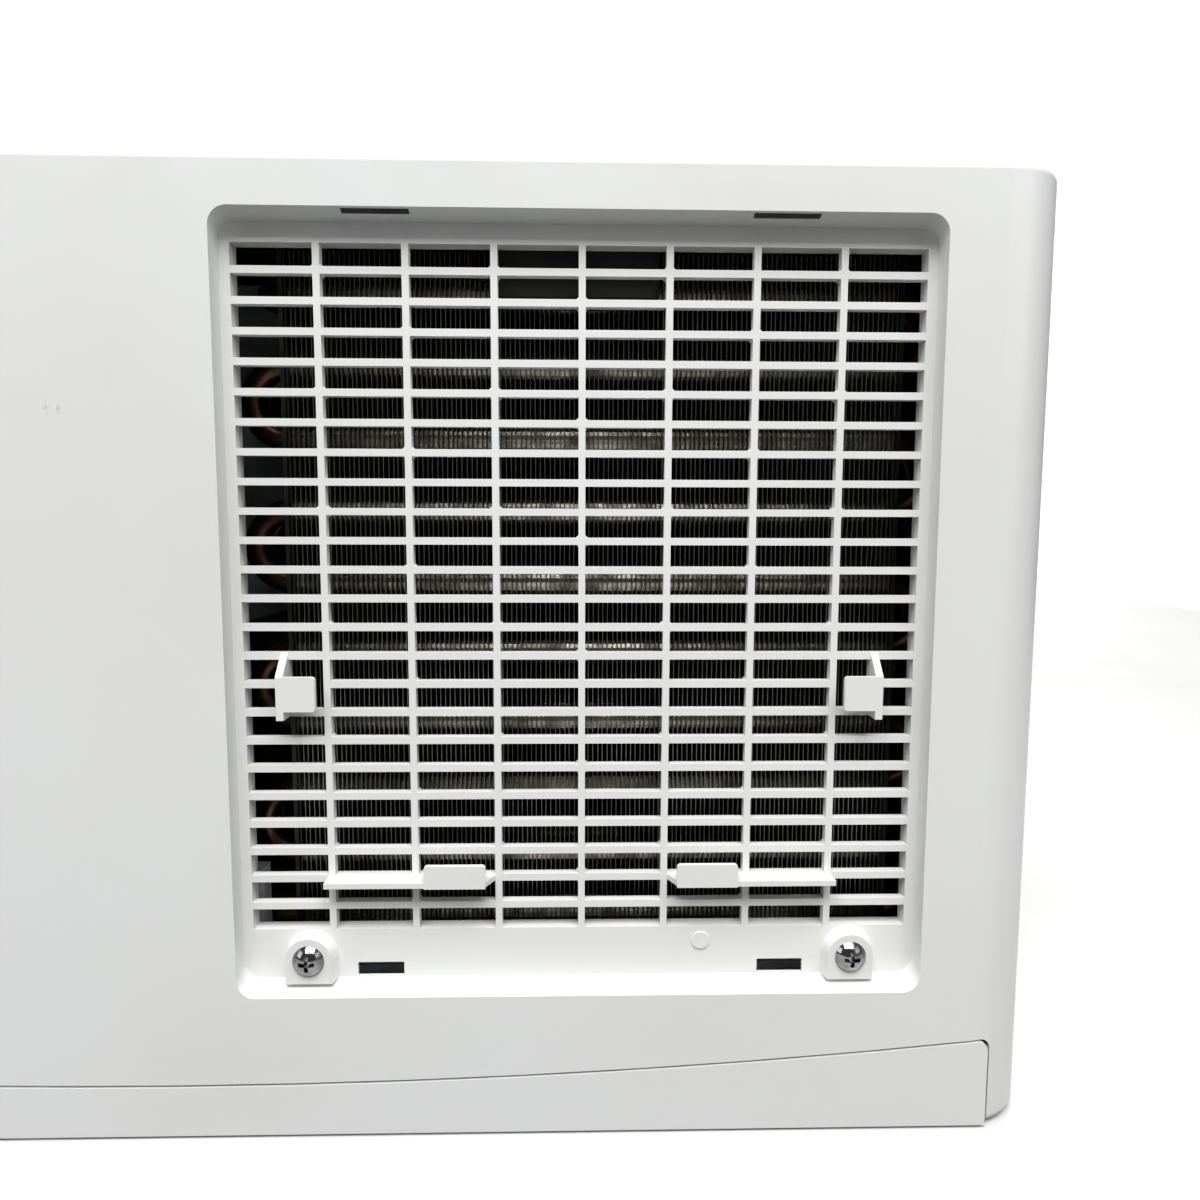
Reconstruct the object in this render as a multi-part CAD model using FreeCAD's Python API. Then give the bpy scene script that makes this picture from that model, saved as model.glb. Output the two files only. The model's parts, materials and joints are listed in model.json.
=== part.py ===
import FreeCAD, Part
import math
import os

# Low-profile window air conditioner, in millimetres. +Z is up, the room side faces -Y, and the
# origin is the middle of its footprint on the sill. The air inlet fills the right of the front,
# with its cover and filter off; the outlet and the controls are on the left. A double-ended
# motor drives the blower behind the evaporator and the fan in front of the condenser.

# ---- driving dimensions ----------------------------------------------------------------------
width = 490.0
depth = 360.0
height = 270.0

foot_height = 3.0
foot_radius = 12.0
foot_inset = 42.0
sheet = 1.0                     # steel sheet of the pan, partitions and brackets
case_sheet = 0.8                # steel sheet of the outer case
running_gap = 0.3               # between pieces that move past each other

panel_depth = 42.0              # how far the front panel wraps back round the case
panel_wall = 2.5
panel_corner = 20.0             # radius of the upright front corners
panel_edge = 2.5                # radius of the top and bottom front edges
panel_lift = 1.0                # gap between the front panel and the sill

inlet_right_margin = 35.8       # recess to the side of the panel
inlet_top_margin = 13.9         # recess to the top of the panel
inlet_bottom_margin = 41.3      # recess to the sill
inlet_left_block = 260.5        # width kept for the outlet and controls
recess_depth = 6.5
recess_flare_top = 2.0          # slope of the recess's ceiling and floor
recess_flare_bottom = 2.8
recess_radius = 5.0
border_side = 2.85              # flat border round the grille's openings
border_top = 5.3
border_bottom = 14.3
column_pitch = 23.65
row_pitch = 8.0
rib = 1.9
bar = 2.0
bar_depth = 3.0
rim_depth = 5.0                 # stiffening rim behind the grille
hook_slot = 17.7                # slots for the cover's hooks, in the recess's ceiling
latch_slot = 13.2               # slots for the cover's latches, in the grille's lower border
latch_slot_height = 4.0
clip_reach = 5.5                # how far the filter clips stand off the grille
clip_wall = 2.0
clip_plate = 1.5
side_clip_plate = 9.6
side_clip_gap = 9.5             # clip blade to the nearest rib
nub_radius = 1.9                # ejector nubs behind the grille's crossings
shelf_plate = (17.2, 6.6)

screw_inset = 16.5              # screw to the side of the grille's openings
screw_rise = 6.7                # grille screws above the recess's lower inner edge
screw_pad = 13.6
screw_pad_reach = 4.0
screw_head = 9.0
screw_shank = 4.0
screw_length = 16.0

skirt_end = 14.4                # skirt's end to the side of the panel
skirt_end_height = 27.5
skirt_middle_height = 16.3
skirt_gap = 0.8
skirt_corner = 3.0

outlet_width = 160.0
outlet_left = 27.0              # outlet and controls to the left side of the panel
outlet_top_margin = 23.0
opening_radius = 6.0
control_bottom = 48.0
control_height = 70.0
control_outlet_gap = 19.0
control_recess = 14.0
sleeve_wall = 2.0
sleeve_depth = 46.0
blades = 5
blade_chord = 18.0
blade_thickness = 2.2
blade_axis_depth = 12.5
vanes = 5
vane_thickness = 2.0
vane_chord = 15.0
vane_axis_depth = 35.0
pivot_radius = 1.8
crank = 6.6                     # crank pin to pivot, on louvres and vanes
link_width = 4.6
link_thickness = 2.4
link_pin = 1.2
pivot_fit = 0.08

knob_radius = 19.0
knob_length = 13.0
knob_shaft = 3.0
mode_knob_inset = 32.0          # knob centre to the left edge of the controls
thermostat_knob_inset = 88.0
vent_knob_inset = 138.0
vent_rod = 2.5
vent_knob_radius = 8.0
vent_port = 18.0
vent_overlap = 4.0
vent_travel = 10.0

pan_inset = 11.0                # front panel's face to the pan
pan_wall_height = 22.0
pan_corner = 14.0
coil_gap = 16.0                 # grille's face to the evaporator's fins
tube_pitch = 21.0
tube_row_pitch = 13.0
tube_radius = 3.5
tube_fit = 0.15
evaporator_tubes_deep = 2
evaporator_side_inset = 9.0     # fins inside the grille's left edge
condenser_tubes_deep = 2
condenser_side_gap = 25.0       # room for the bends at each end of the condenser
condenser_lift = 15.0
end_plate = 1.2
suction_gap = 36.05             # evaporator's fins to the suction pipe beside them
capillary_gap = 50.05           # evaporator's fins to the capillary beside them

bulkhead_depth = 125.0
blower_radius = 75.0
blower_centre = 0.489           # blower's centre height over the unit's height
blower_blades = 36
scroll_depth = 54.0
scroll_wall = 2.5
scroll_gap = 7.0
tongue_angle = 165.0
shaft_radius = 4.0
motor_radius = 48.0
motor_gap = 12.0
motor_fan_gap = 35.0
fan_depth = 38.0
fan_margin = 12.0
fan_blades = 5
slinger = 4.0
shroud_gap = 6.0
condenser_gap = 8.0
guard_thickness = 2.0
guard_clearance = 10.0

tray_overhang = 20.0
bulb_radius = 3.0
bulb_line_z = 100.0
control_box_width = 120.0
capacitor_radius = 17.0
bolt_radius = 3.0
grommet_neck = 6.0
case_screw = 1.8
case_slot = 3.0
case_slot_step = 9.0
case_slot_length = 60.0
case_slot_margin = 60.0
case_slot_banks = 2
guard_columns = 9
guard_step = 12.0

compressor_radius = 52.0
compressor_lift = 18.0
compressor_top_gap = 40.0
accumulator_radius = 22.0
suction_radius = 4.75
discharge_radius = 4.0
capillary_radius = 1.25

sash_angle = 20.0
sash_angle_length = 400.0
sash_hole = 2.5
sash_outer = 360.0
sash_inner = 120.0
drain_radius = 7.0
gland_radius = 6.0
gland_bore = 3.75
gland_x = -200.0
gland_height = 12.0

# ---- places worked out from them -------------------------------------------------------------
front = -depth / 2
rear = depth / 2
left = -width / 2
right = width / 2

room_for_columns = width - inlet_left_block - inlet_right_margin - 2 * border_side + rib
columns = int(room_for_columns / column_pitch)
room_for_rows = (height - inlet_top_margin - inlet_bottom_margin - recess_flare_top
                 - recess_flare_bottom - border_top - border_bottom + bar)
rows = int(room_for_rows / row_pitch)
grille_width = columns * column_pitch - rib
grille_height = rows * row_pitch - bar
recess_x1 = right - inlet_right_margin
recess_x0 = recess_x1 - grille_width - 2 * border_side
recess_z1 = height - inlet_top_margin
grille_z1 = recess_z1 - recess_flare_top - border_top
grille_z0 = grille_z1 - grille_height
grille_x0 = recess_x0 + border_side
grille_x1 = grille_x0 + grille_width
grille_middle = (grille_x0 + grille_x1) / 2
inner_z1 = recess_z1 - recess_flare_top
inner_z0 = grille_z0 - border_bottom
recess_z0 = inner_z0 - recess_flare_bottom
grille_y = front + recess_depth
grille_back = grille_y + bar_depth
screw_z = inner_z0 + screw_rise
screw_offset = grille_width / 2 - screw_inset
hook_slot_offset = 0.288 * grille_width
latch_slot_offset = 0.3075 * grille_width
side_clip_rows = round(0.584 * rows)    # grille rows above the side clips
shelf_row = rows - 2

outlet_x0 = left + outlet_left
outlet_x1 = outlet_x0 + outlet_width
control_z1 = control_bottom + control_height
outlet_z0 = control_z1 + control_outlet_gap
outlet_z1 = height - outlet_top_margin
control_z = control_bottom + control_height / 2
control_y = front + control_recess
blade_y = front + blade_axis_depth
vane_y = front + vane_axis_depth
sleeve_end = front + sleeve_depth

case_half = width / 2 - panel_wall - 0.6
case_top = height - panel_wall - 0.5
pan_half = case_half - case_sheet
pan_front = front + pan_inset
pan_back = rear - guard_thickness
pan_floor = foot_height + sheet
ceiling = case_top - case_sheet

fins_front = grille_y + coil_gap
fins_x0 = grille_x0 + evaporator_side_inset
fins_x1 = grille_x1 - 2.0
coil_depth = tube_row_pitch * evaporator_tubes_deep
fins_z1 = grille_z1 + 2.7
evaporator_tubes_high = int((fins_z1 - pan_floor - 35.0) / tube_pitch)
fins_z0 = fins_z1 - tube_pitch * evaporator_tubes_high
tray_z0 = fins_z0 - 17.5
tray_y0 = pan_front + sheet + 2.0
tray_y1 = fins_front + coil_depth + 4.0
tray_wall = 2.0
tray_top = min(fins_z0 + 2.5, screw_z - screw_shank / 2 - 1.5)    # clear of the grille's screws

bulkhead_y = front + bulkhead_depth
scroll_y = front + scroll_depth
fan_x = grille_middle
fan_z = blower_centre * height
condenser_back = rear - guard_thickness - guard_clearance
condenser_front = condenser_back - tube_row_pitch * condenser_tubes_deep
shroud_y = condenser_front - condenser_gap
fan_y1 = shroud_y + 2.0
fan_y0 = fan_y1 - fan_depth
fan_radius = min(ceiling - fan_z, fan_z - pan_floor, pan_half - fan_x) - fan_margin
motor_y0 = bulkhead_y + sheet + motor_gap
motor_y1 = fan_y0 - motor_fan_gap
compressor_x = outlet_x0 + 68.0
compressor_y = (bulkhead_y + shroud_y) / 2 + 18.0
compressor_z0 = pan_floor + compressor_lift
compressor_z1 = ceiling - compressor_top_gap
accumulator_x = compressor_x + compressor_radius + accumulator_radius + 8.0

accumulator_z0 = compressor_z0 + 50.0
accumulator_z1 = compressor_z1 - 36.0
condenser_x0 = -pan_half + condenser_side_gap
condenser_x1 = pan_half - condenser_side_gap
condenser_z0 = pan_floor + condenser_lift
condenser_tubes_high = int((ceiling - condenser_z0 - 10.0) / tube_pitch)
condenser_z1 = condenser_z0 + tube_pitch * condenser_tubes_high
low_tube_z = fins_z0 + tube_pitch / 2
suction_x = fins_x0 - suction_gap
capillary_x = fins_x0 - capillary_gap
capillary_z = low_tube_z - 12.0
drier_x = condenser_x0 - end_plate - 0.5 - 8.0 - 6.0
drier_y = shroud_y - 20.0
drier_z0 = 90.0
drier_z1 = 170.0
bulb_y = fins_front - 3.0
bulb_z = grille_z1 - 5.0
bulb_line_y = control_y + 12.0

gland_place = gland_x * width / 490.0

mode_x = outlet_x0 + mode_knob_inset
thermostat_x = outlet_x0 + thermostat_knob_inset
vent_x = outlet_x0 + vent_knob_inset


# ---- small helpers ---------------------------------------------------------------------------
def vec(x, y, z):
    return FreeCAD.Vector(x, y, z)


AXIS_X = vec(1, 0, 0)
AXIS_Y = vec(0, 1, 0)
AXIS_Z = vec(0, 0, 1)


def block(x0, x1, y0, y1, z0, z1):
    return Part.makeBox(x1 - x0, y1 - y0, z1 - z0, vec(x0, y0, z0))


def rod(radius, start, axis, length):
    return Part.makeCylinder(radius, length, start, axis)


def rod_y(radius, x, z, y0, y1):
    return rod(radius, vec(x, y0, z), AXIS_Y, y1 - y0)


def joined(shapes):
    first, *rest = shapes
    return first.multiFuse(rest).removeSplitter() if rest else first


def without(shape, tools):
    return shape.cut(tools) if tools else shape


def group(shapes):
    return Part.makeCompound(shapes)


def rounded(shape, radius, wanted):
    return shape.makeFillet(radius, [edge for edge in shape.Edges if wanted(edge)])


def ends(edge):
    return [vertex.Point for vertex in edge.Vertexes]


def is_along(edge, axis):
    points = ends(edge)
    if len(points) < 2:
        return False
    span = points[1] - points[0]
    return span.Length > 0.01 and span.cross(axis).Length < 0.001 * span.Length


def all_at(edge, name, value):
    return all(abs(getattr(point, name) - value) < 0.001 for point in ends(edge))


def rounded_rectangle(x0, x1, z0, z1, radius, y):
    """A closed wire in an upright plane."""
    k = radius * (1 - math.sqrt(0.5))
    corners = [
        ((x1 - radius, z0), (x1 - k, z0 + k), (x1, z0 + radius)),
        ((x1, z1 - radius), (x1 - k, z1 - k), (x1 - radius, z1)),
        ((x0 + radius, z1), (x0 + k, z1 - k), (x0, z1 - radius)),
        ((x0, z0 + radius), (x0 + k, z0 + k), (x0 + radius, z0)),
    ]
    arcs = [[vec(px, y, pz) for px, pz in corner] for corner in corners]
    edges = []
    for number, arc in enumerate(arcs):
        edges.append(Part.Arc(*arc).toShape())
        edges.append(Part.makeLine(arc[2], arcs[(number + 1) % 4][0]))
    return Part.Wire(edges)


def rounded_block(x0, x1, z0, z1, radius, y0, y1):
    face = Part.Face(rounded_rectangle(x0, x1, z0, z1, radius, y0))
    return face.extrude(vec(0, y1 - y0, 0))


def turned(profile, centre, axis=AXIS_Y):
    """A solid of revolution from (along, radius) points about an axis through centre."""
    side = AXIS_X
    points = [centre + axis * along + side * radius for along, radius in profile]
    wire = Part.makePolygon(points + [points[0]])
    solid = Part.Face(wire).revolve(centre, axis, 360)
    if solid.Volume < 0:
        solid.reverse()
    return solid


def bent_path(points, bend):
    """Straight runs joined by tangent arcs of one bend radius, or as large as the runs allow."""
    edges = []
    start = points[0]
    for before, corner, after in zip(points, points[1:], points[2:]):
        to_before = (before - corner).normalize()
        to_after = (after - corner).normalize()
        half_turn = (math.pi - to_before.getAngle(to_after)) / 2
        reach = bend * math.tan(half_turn)
        reach = min(reach, 0.45 * (before - corner).Length, 0.45 * (after - corner).Length)
        radius = reach / math.tan(half_turn)
        enter = corner + to_before * reach
        leave = corner + to_after * reach
        inward = (to_before + to_after).normalize()
        middle = corner + inward * (radius / math.cos(half_turn) - radius)
        edges.append(Part.makeLine(start, enter))
        edges.append(Part.Arc(enter, middle, leave).toShape())
        start = leave
    edges.append(Part.makeLine(start, points[-1]))
    return Part.Wire(edges)


def swept(path, radius):
    start = path.Edges[0]
    direction = start.tangentAt(start.FirstParameter)
    circle = Part.makeCircle(radius, start.valueAt(start.FirstParameter), direction)
    return path.makePipeShell([Part.Wire(circle)], True, True)


def pipe(points, radius, bend):
    return swept(bent_path([vec(*point) for point in points], bend), radius)


# ---- front panel, grille and skirt -----------------------------------------------------------
def skirt_prism(inset, y0, y1):
    """The upright prism under the panel's curved lower edge, drawn in by inset."""
    half = width / 2 - skirt_end - inset
    end_z = skirt_end_height - inset
    points = [vec(-half, y0, 0), vec(half, y0, 0), vec(half, y0, end_z), vec(-half, y0, end_z)]
    top = Part.Arc(points[2], vec(0, y0, skirt_middle_height - inset), points[3]).toShape()
    wire = Part.Wire([
        Part.makeLine(points[0], points[1]),
        Part.makeLine(points[1], points[2]),
        top,
        Part.makeLine(points[3], points[0]),
    ])
    prism = Part.Face(wire).extrude(vec(0, y1 - y0, 0))
    return rounded(prism, skirt_corner - inset / 2,
                   lambda edge: is_along(edge, AXIS_Y) and ends(edge)[0].z > 0.5 * end_z)


def recess_loft(grow):
    front_wire = rounded_rectangle(recess_x0 - grow, recess_x1 + grow, recess_z0 - grow,
                                   recess_z1 + grow, recess_radius + grow, front)
    back_wire = rounded_rectangle(recess_x0 - grow, recess_x1 + grow, inner_z0 - grow,
                                  inner_z1 + grow, recess_radius + grow, grille_y)
    return Part.makeLoft([front_wire, back_wire], True, True)


def front_panel():
    back = front + panel_depth
    body = block(left, right, front, back, panel_lift, height)
    body = rounded(body, panel_corner,
                   lambda edge: is_along(edge, AXIS_Z) and all_at(edge, "y", front))
    body = rounded(body, panel_edge,
                   lambda edge: (all_at(edge, "z", height) or all_at(edge, "z", panel_lift))
                   and not all_at(edge, "y", back))
    hollow = block(left + panel_wall, right - panel_wall, front + panel_wall, back + 1,
                   panel_lift + panel_wall, height - panel_wall)
    hollow = rounded(hollow, panel_corner - panel_wall,
                     lambda edge: is_along(edge, AXIS_Z) and all_at(edge, "y", front + panel_wall))
    shell = body.cut(hollow).fuse(recess_loft(panel_wall))
    through = front + panel_wall + 1
    openings = [
        recess_loft(0),
        rounded_block(outlet_x0, outlet_x1, outlet_z0, outlet_z1, opening_radius, front - 1, through),
        rounded_block(outlet_x0, outlet_x1, control_bottom, control_z1, opening_radius,
                      front - 1, through),
        skirt_prism(0, front - 1, through),
        block(-width / 2 + skirt_end, width / 2 - skirt_end, front - 1, pan_front,
              panel_lift - 1, panel_lift + panel_wall + 0.5),
        block(-case_half - 0.6, case_half + 0.6, pan_front - 1.5, back + 1, panel_lift - 1,
              panel_lift + panel_wall + 0.5),
    ]
    for side in (-1, 1):
        middle = grille_middle + side * hook_slot_offset
        openings.append(block(middle - hook_slot / 2, middle + hook_slot / 2, front + 0.9,
                              front + 3.1, inner_z1 - 1, recess_z1 + panel_wall + 1))
        middle = grille_middle + side * latch_slot_offset
        openings.append(block(middle - latch_slot / 2, middle + latch_slot / 2, grille_y - 3.2,
                              grille_y + 1, inner_z0 - 0.7, inner_z0 + 2))
    return shell.cut(openings).removeSplitter()


def column_edge(number):
    """Left side of a grille rib, numbered from 1."""
    return grille_x0 + number * column_pitch - rib


def row_edge(number):
    """Underside of a grille bar, numbered from 1 at the top."""
    return grille_z1 - number * row_pitch


def grille_openings():
    cells = []
    for column in range(columns):
        x0 = grille_x0 + column * column_pitch
        for row in range(rows):
            z1 = grille_z1 - row * row_pitch
            cells.append(block(x0, x0 + column_pitch - rib, grille_y - 1, grille_back + 1,
                               z1 - row_pitch + bar, z1))
    return cells


def side_clip_x(side):
    """Inner face of a side clip's blade, next to the outermost rib."""
    if side < 0:
        return column_edge(1) - side_clip_gap
    return column_edge(columns - 1) + rib + side_clip_gap


def side_clip(side):
    """A blade that stands off the grille with a plate turned in over the filter's edge."""
    x = side_clip_x(side)
    blade_x0, blade_x1 = sorted((x, x + side * clip_wall))
    z1 = row_edge(side_clip_rows) + bar
    z0 = row_edge(side_clip_rows + 2)
    tip = grille_y - clip_reach
    slope = clip_reach + 0.5
    profile = Part.makePolygon([
        vec(blade_x0, grille_back, z1), vec(blade_x0, grille_y, z1),
        vec(blade_x0, tip, z1 - slope), vec(blade_x0, tip, z0),
        vec(blade_x0, grille_back, z0), vec(blade_x0, grille_back, z1),
    ])
    blade = Part.Face(profile).extrude(vec(clip_wall, 0, 0))
    free_edge = x + side * (clip_wall / 2 - side_clip_plate)
    plate_x0, plate_x1 = sorted((x + side * clip_wall / 2, free_edge))
    plate_z1 = z1 - slope
    plate = block(plate_x0, plate_x1, tip, tip + clip_plate, plate_z1 - side_clip_plate, plate_z1)
    plate = rounded(plate, 1.0, lambda edge: is_along(edge, AXIS_Y) and all_at(edge, "x", free_edge))
    return blade.fuse(plate)


def side_clip_window(side):
    """The grille's opening beside a side clip, where one bar stops at the blade."""
    x = side_clip_x(side)
    rib_edge = column_edge(1) if side < 0 else column_edge(columns - 1) + rib
    x0, x1 = sorted((x, rib_edge))
    return block(x0, x1, grille_y - 1, grille_back + 1, row_edge(side_clip_rows + 2) + bar,
                 row_edge(side_clip_rows))


def shelf_clip(side):
    """A shelf along one bar with a plate turned up in front of the filter's lower edge."""
    if side < 0:
        outer, inner = column_edge(1), column_edge(3)
        plate_middle = (column_edge(2) + column_edge(3) + rib) / 2
    else:
        outer, inner = column_edge(columns - 1) + rib, column_edge(columns - 3) + rib
        plate_middle = (column_edge(columns - 2) + column_edge(columns - 3) + rib) / 2
    shelf_z0 = row_edge(shelf_row) + 0.2
    shelf_z1 = shelf_z0 + 1.5
    tip = grille_y - clip_reach
    cut_back = 2.6
    wire = Part.makePolygon([
        vec(outer, grille_back, shelf_z0), vec(outer, tip, shelf_z0),
        vec(inner + side * cut_back, tip, shelf_z0), vec(inner, grille_y, shelf_z0),
        vec(inner, grille_back, shelf_z0), vec(outer, grille_back, shelf_z0),
    ])
    shelf = Part.Face(wire).extrude(vec(0, 0, shelf_z1 - shelf_z0))
    plate_width, plate_height = shelf_plate
    plate = block(plate_middle - plate_width / 2, plate_middle + plate_width / 2, tip - 0.2,
                  tip - 0.2 + clip_plate, shelf_z0 - 0.2, shelf_z0 - 0.2 + plate_height)
    top = shelf_z0 - 0.2 + plate_height
    plate = rounded(plate, 1.0, lambda edge: is_along(edge, AXIS_Y) and all_at(edge, "z", top))
    return shelf.fuse(plate)


def pad_face(middle, half, y):
    """The arch-topped outline of a screw pad."""
    z0 = inner_z0
    wire = Part.Wire([
        Part.makeLine(vec(middle - half, y, z0), vec(middle + half, y, z0)),
        Part.makeLine(vec(middle + half, y, z0), vec(middle + half, y, screw_z)),
        Part.Arc(vec(middle + half, y, screw_z), vec(middle, y, screw_z + half),
                 vec(middle - half, y, screw_z)).toShape(),
        Part.makeLine(vec(middle - half, y, screw_z), vec(middle - half, y, z0)),
    ])
    return wire


def screw_pad_solid(middle):
    base = pad_face(middle, screw_pad / 2 + 0.7, grille_y)
    face = pad_face(middle, screw_pad / 2 - 0.3, grille_y - screw_pad_reach)
    pad = Part.makeLoft([base, face], True, True)
    post = rod_y(screw_shank, middle, screw_z, grille_y, pan_front + sheet)
    return pad.fuse(post)


def ejector_nubs():
    """Low posts behind some crossings, where the mould's pins push the grille out."""
    nubs = []
    for column in range(1, columns):
        first = {1: 1, 0: 3}[column % 2] if column != columns // 2 else 2
        x = column_edge(column) + rib / 2
        for row in range(first, rows, 4):
            nubs.append(rod_y(nub_radius, x, row_edge(row) + bar / 2, grille_y + 0.5, grille_back))
    return nubs


def inlet_grille():
    plate = block(recess_x0 - panel_wall, recess_x1 + panel_wall, grille_y, grille_back,
                  inner_z0 - panel_wall, inner_z1 + panel_wall)
    rim_outer = block(grille_x0 - 1.8, grille_x1 + 1.8, grille_back, grille_y + rim_depth,
                      grille_z0 - 1.8, grille_z1 + 1.8)
    rim_inner = block(grille_x0, grille_x1, grille_back - 1, grille_y + rim_depth + 1,
                      grille_z0, grille_z1)
    solid = plate.fuse(rim_outer.cut(rim_inner))
    cuts = grille_openings()
    for side in (-1, 1):
        cuts.append(side_clip_window(side))
        middle = grille_middle + side * latch_slot_offset
        slot_z0 = inner_z0 + 0.3
        cuts.append(block(middle - latch_slot / 2, middle + latch_slot / 2, grille_y - 1,
                          grille_back + 1, slot_z0, slot_z0 + latch_slot_height))
        cuts.append(block(middle - latch_slot / 2 - 1.5, middle + latch_slot / 2 + 1.5, grille_y + 1.0,
                          grille_back + 1, slot_z0 - 2.0, slot_z0 + latch_slot_height + 1.0))
    solid = solid.cut(cuts)
    additions = [rod_y(2.5, grille_middle + 0.184 * grille_width, inner_z0 + 10.2, grille_y - 0.4,
                       grille_back)]
    additions += ejector_nubs()
    screw_holes = []
    for side in (-1, 1):
        middle = grille_middle + side * screw_offset
        additions += [side_clip(side), shelf_clip(side), screw_pad_solid(middle)]
        screw_holes.append(rod_y(screw_shank / 2 + 0.3, middle, screw_z,
                                 front - 1, pan_front + sheet + 1))
    solid = solid.multiFuse(additions)
    return solid.cut(screw_holes).removeSplitter()


def cross_recess(middle, z, y, size, slot, cut_depth):
    """The four-winged driver recess of a screw head."""
    return [
        block(middle - size / 2, middle + size / 2, y, y + cut_depth, z - slot / 2, z + slot / 2),
        block(middle - slot / 2, middle + slot / 2, y, y + cut_depth, z - size / 2, z + size / 2),
    ]


def grille_screws():
    screws = []
    seat = grille_y - screw_pad_reach
    head = 2.4
    for side in (-1, 1):
        middle = grille_middle + side * screw_offset
        radius = screw_head / 2
        dome = (radius * radius + head * head) / (2 * head)
        ball = Part.makeSphere(dome, vec(middle, seat - head + dome, screw_z))
        cap = ball.common(rod_y(radius, middle, screw_z, seat - head - 1, seat))
        shank = rod_y(screw_shank / 2, middle, screw_z, seat, seat + screw_length)
        screw = cap.fuse(shank)
        screws.append(screw.cut(cross_recess(middle, screw_z, seat - head - 0.1, 4.4, 1.1, 1.9)))
    return group(screws)


def skirt():
    plate = skirt_prism(skirt_gap, front, front + panel_wall)
    plate = plate.common(block(left, right, front - 1, front + panel_wall + 1, panel_lift, height))
    low_z1 = skirt_middle_height - skirt_gap
    ribs = []
    for x in (-180.0, -60.0, 60.0, 180.0):
        x = x * width / 490.0
        ribs.append(block(x - 4, x + 4, front + panel_wall, pan_front, foot_height + 0.5, low_z1))
    ledge = block(-width / 2 + skirt_end + 6, width / 2 - skirt_end - 6, front + panel_wall,
                  pan_front - 2.5, panel_lift, panel_lift + 2.0)
    gland_hole = rod_y(gland_radius + 0.1, gland_place, gland_height, front - 1, pan_front + 1)
    return joined([plate, ledge] + ribs).cut(gland_hole)


# ---- outlet with louvres and vanes -----------------------------------------------------------
def blade_z(number):
    return outlet_z0 + (number + 0.5) * (outlet_z1 - outlet_z0) / blades


def vane_x(number):
    return outlet_x0 + (number + 0.5) * outlet_width / vanes


def outlet_sleeve():
    w = sleeve_wall
    y0 = front + panel_wall
    outer = block(outlet_x0 - w, outlet_x1 + w, y0, sleeve_end, outlet_z0 - w, outlet_z1 + w)
    lip = block(outlet_x0 - w - 5, outlet_x1 + w + 5, y0, y0 + w, outlet_z0 - w - 5, outlet_z1 + w + 5)
    inner = rounded_block(outlet_x0, outlet_x1, outlet_z0, outlet_z1, opening_radius / 2,
                          y0 - 1, sleeve_end + 1)
    holes = []
    for number in range(blades):
        holes.append(rod(pivot_radius + pivot_fit, vec(outlet_x0 - w - 1, blade_y, blade_z(number)),
                         AXIS_X, outlet_width + 2 * w + 2))
    for number in range(vanes):
        holes.append(rod(pivot_radius + pivot_fit, vec(vane_x(number), vane_y, outlet_z0 - w - 1),
                         AXIS_Z, outlet_z1 - outlet_z0 + 2 * w + 2))
    return outer.fuse(lip).cut([inner] + holes).removeSplitter()


def louvre_blade(number):
    z = blade_z(number)
    half = blade_chord / 2
    thick = blade_thickness / 2
    x0 = outlet_x0 + running_gap
    x1 = outlet_x1 - running_gap - link_thickness - 1.6
    upper = Part.Arc(vec(x0, blade_y - half, z), vec(x0, blade_y, z + thick),
                     vec(x0, blade_y + half, z)).toShape()
    lower = Part.Arc(vec(x0, blade_y + half, z), vec(x0, blade_y, z - thick),
                     vec(x0, blade_y - half, z)).toShape()
    section = Part.Face(Part.Wire([upper, lower])).extrude(vec(x1 - x0, 0, 0))
    shapes = [
        section,
        rod(pivot_radius, vec(outlet_x0 - sleeve_wall, blade_y, z), AXIS_X,
            outlet_width + 2 * sleeve_wall),
        rod(link_pin, vec(x1 - 4, blade_y + crank, z), AXIS_X, 4 + 1.0 + link_thickness),
    ]
    return joined(shapes)


def louvre_link():
    x1 = outlet_x1 - running_gap
    x0 = x1 - link_thickness
    y = blade_y + crank
    z0 = blade_z(0) - 4
    z1 = blade_z(blades - 1) + 4
    bar_solid = block(x0, x1, y - link_width / 2, y + link_width / 2, z0, z1)
    holes = [rod(link_pin + pivot_fit, vec(x0 - 1, y, blade_z(n)), AXIS_X, link_thickness + 2)
             for n in range(blades)]
    return bar_solid.cut(holes)


def vane(number):
    x = vane_x(number)
    half = vane_chord / 2
    z0 = outlet_z0 + running_gap + link_thickness + 1.6
    z1 = outlet_z1 - running_gap
    thick = vane_thickness / 2
    right_side = Part.Arc(vec(x, vane_y - half, z0), vec(x + thick, vane_y, z0),
                          vec(x, vane_y + half, z0)).toShape()
    left_side = Part.Arc(vec(x, vane_y + half, z0), vec(x - thick, vane_y, z0),
                         vec(x, vane_y - half, z0)).toShape()
    section = Part.Face(Part.Wire([right_side, left_side])).extrude(vec(0, 0, z1 - z0))
    shapes = [
        section,
        rod(pivot_radius, vec(x, vane_y, outlet_z0 - sleeve_wall), AXIS_Z,
            outlet_z1 - outlet_z0 + 2 * sleeve_wall),
        rod(link_pin, vec(x, vane_y - crank + 1.6, z0 - 1.0 - link_thickness), AXIS_Z,
            4 + 1.0 + link_thickness),
    ]
    return joined(shapes)


def vane_link():
    z0 = outlet_z0 + running_gap
    y = vane_y - crank + 1.6
    x0 = vane_x(0) - 4
    x1 = vane_x(vanes - 1) + 4
    half = link_width / 2 - 0.6
    bar_solid = block(x0, x1, y - half, y + half, z0, z0 + link_thickness)
    holes = [rod(link_pin + pivot_fit, vec(vane_x(n), y, z0 - 1), AXIS_Z, link_thickness + 2)
             for n in range(vanes)]
    return bar_solid.cut(holes)


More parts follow.
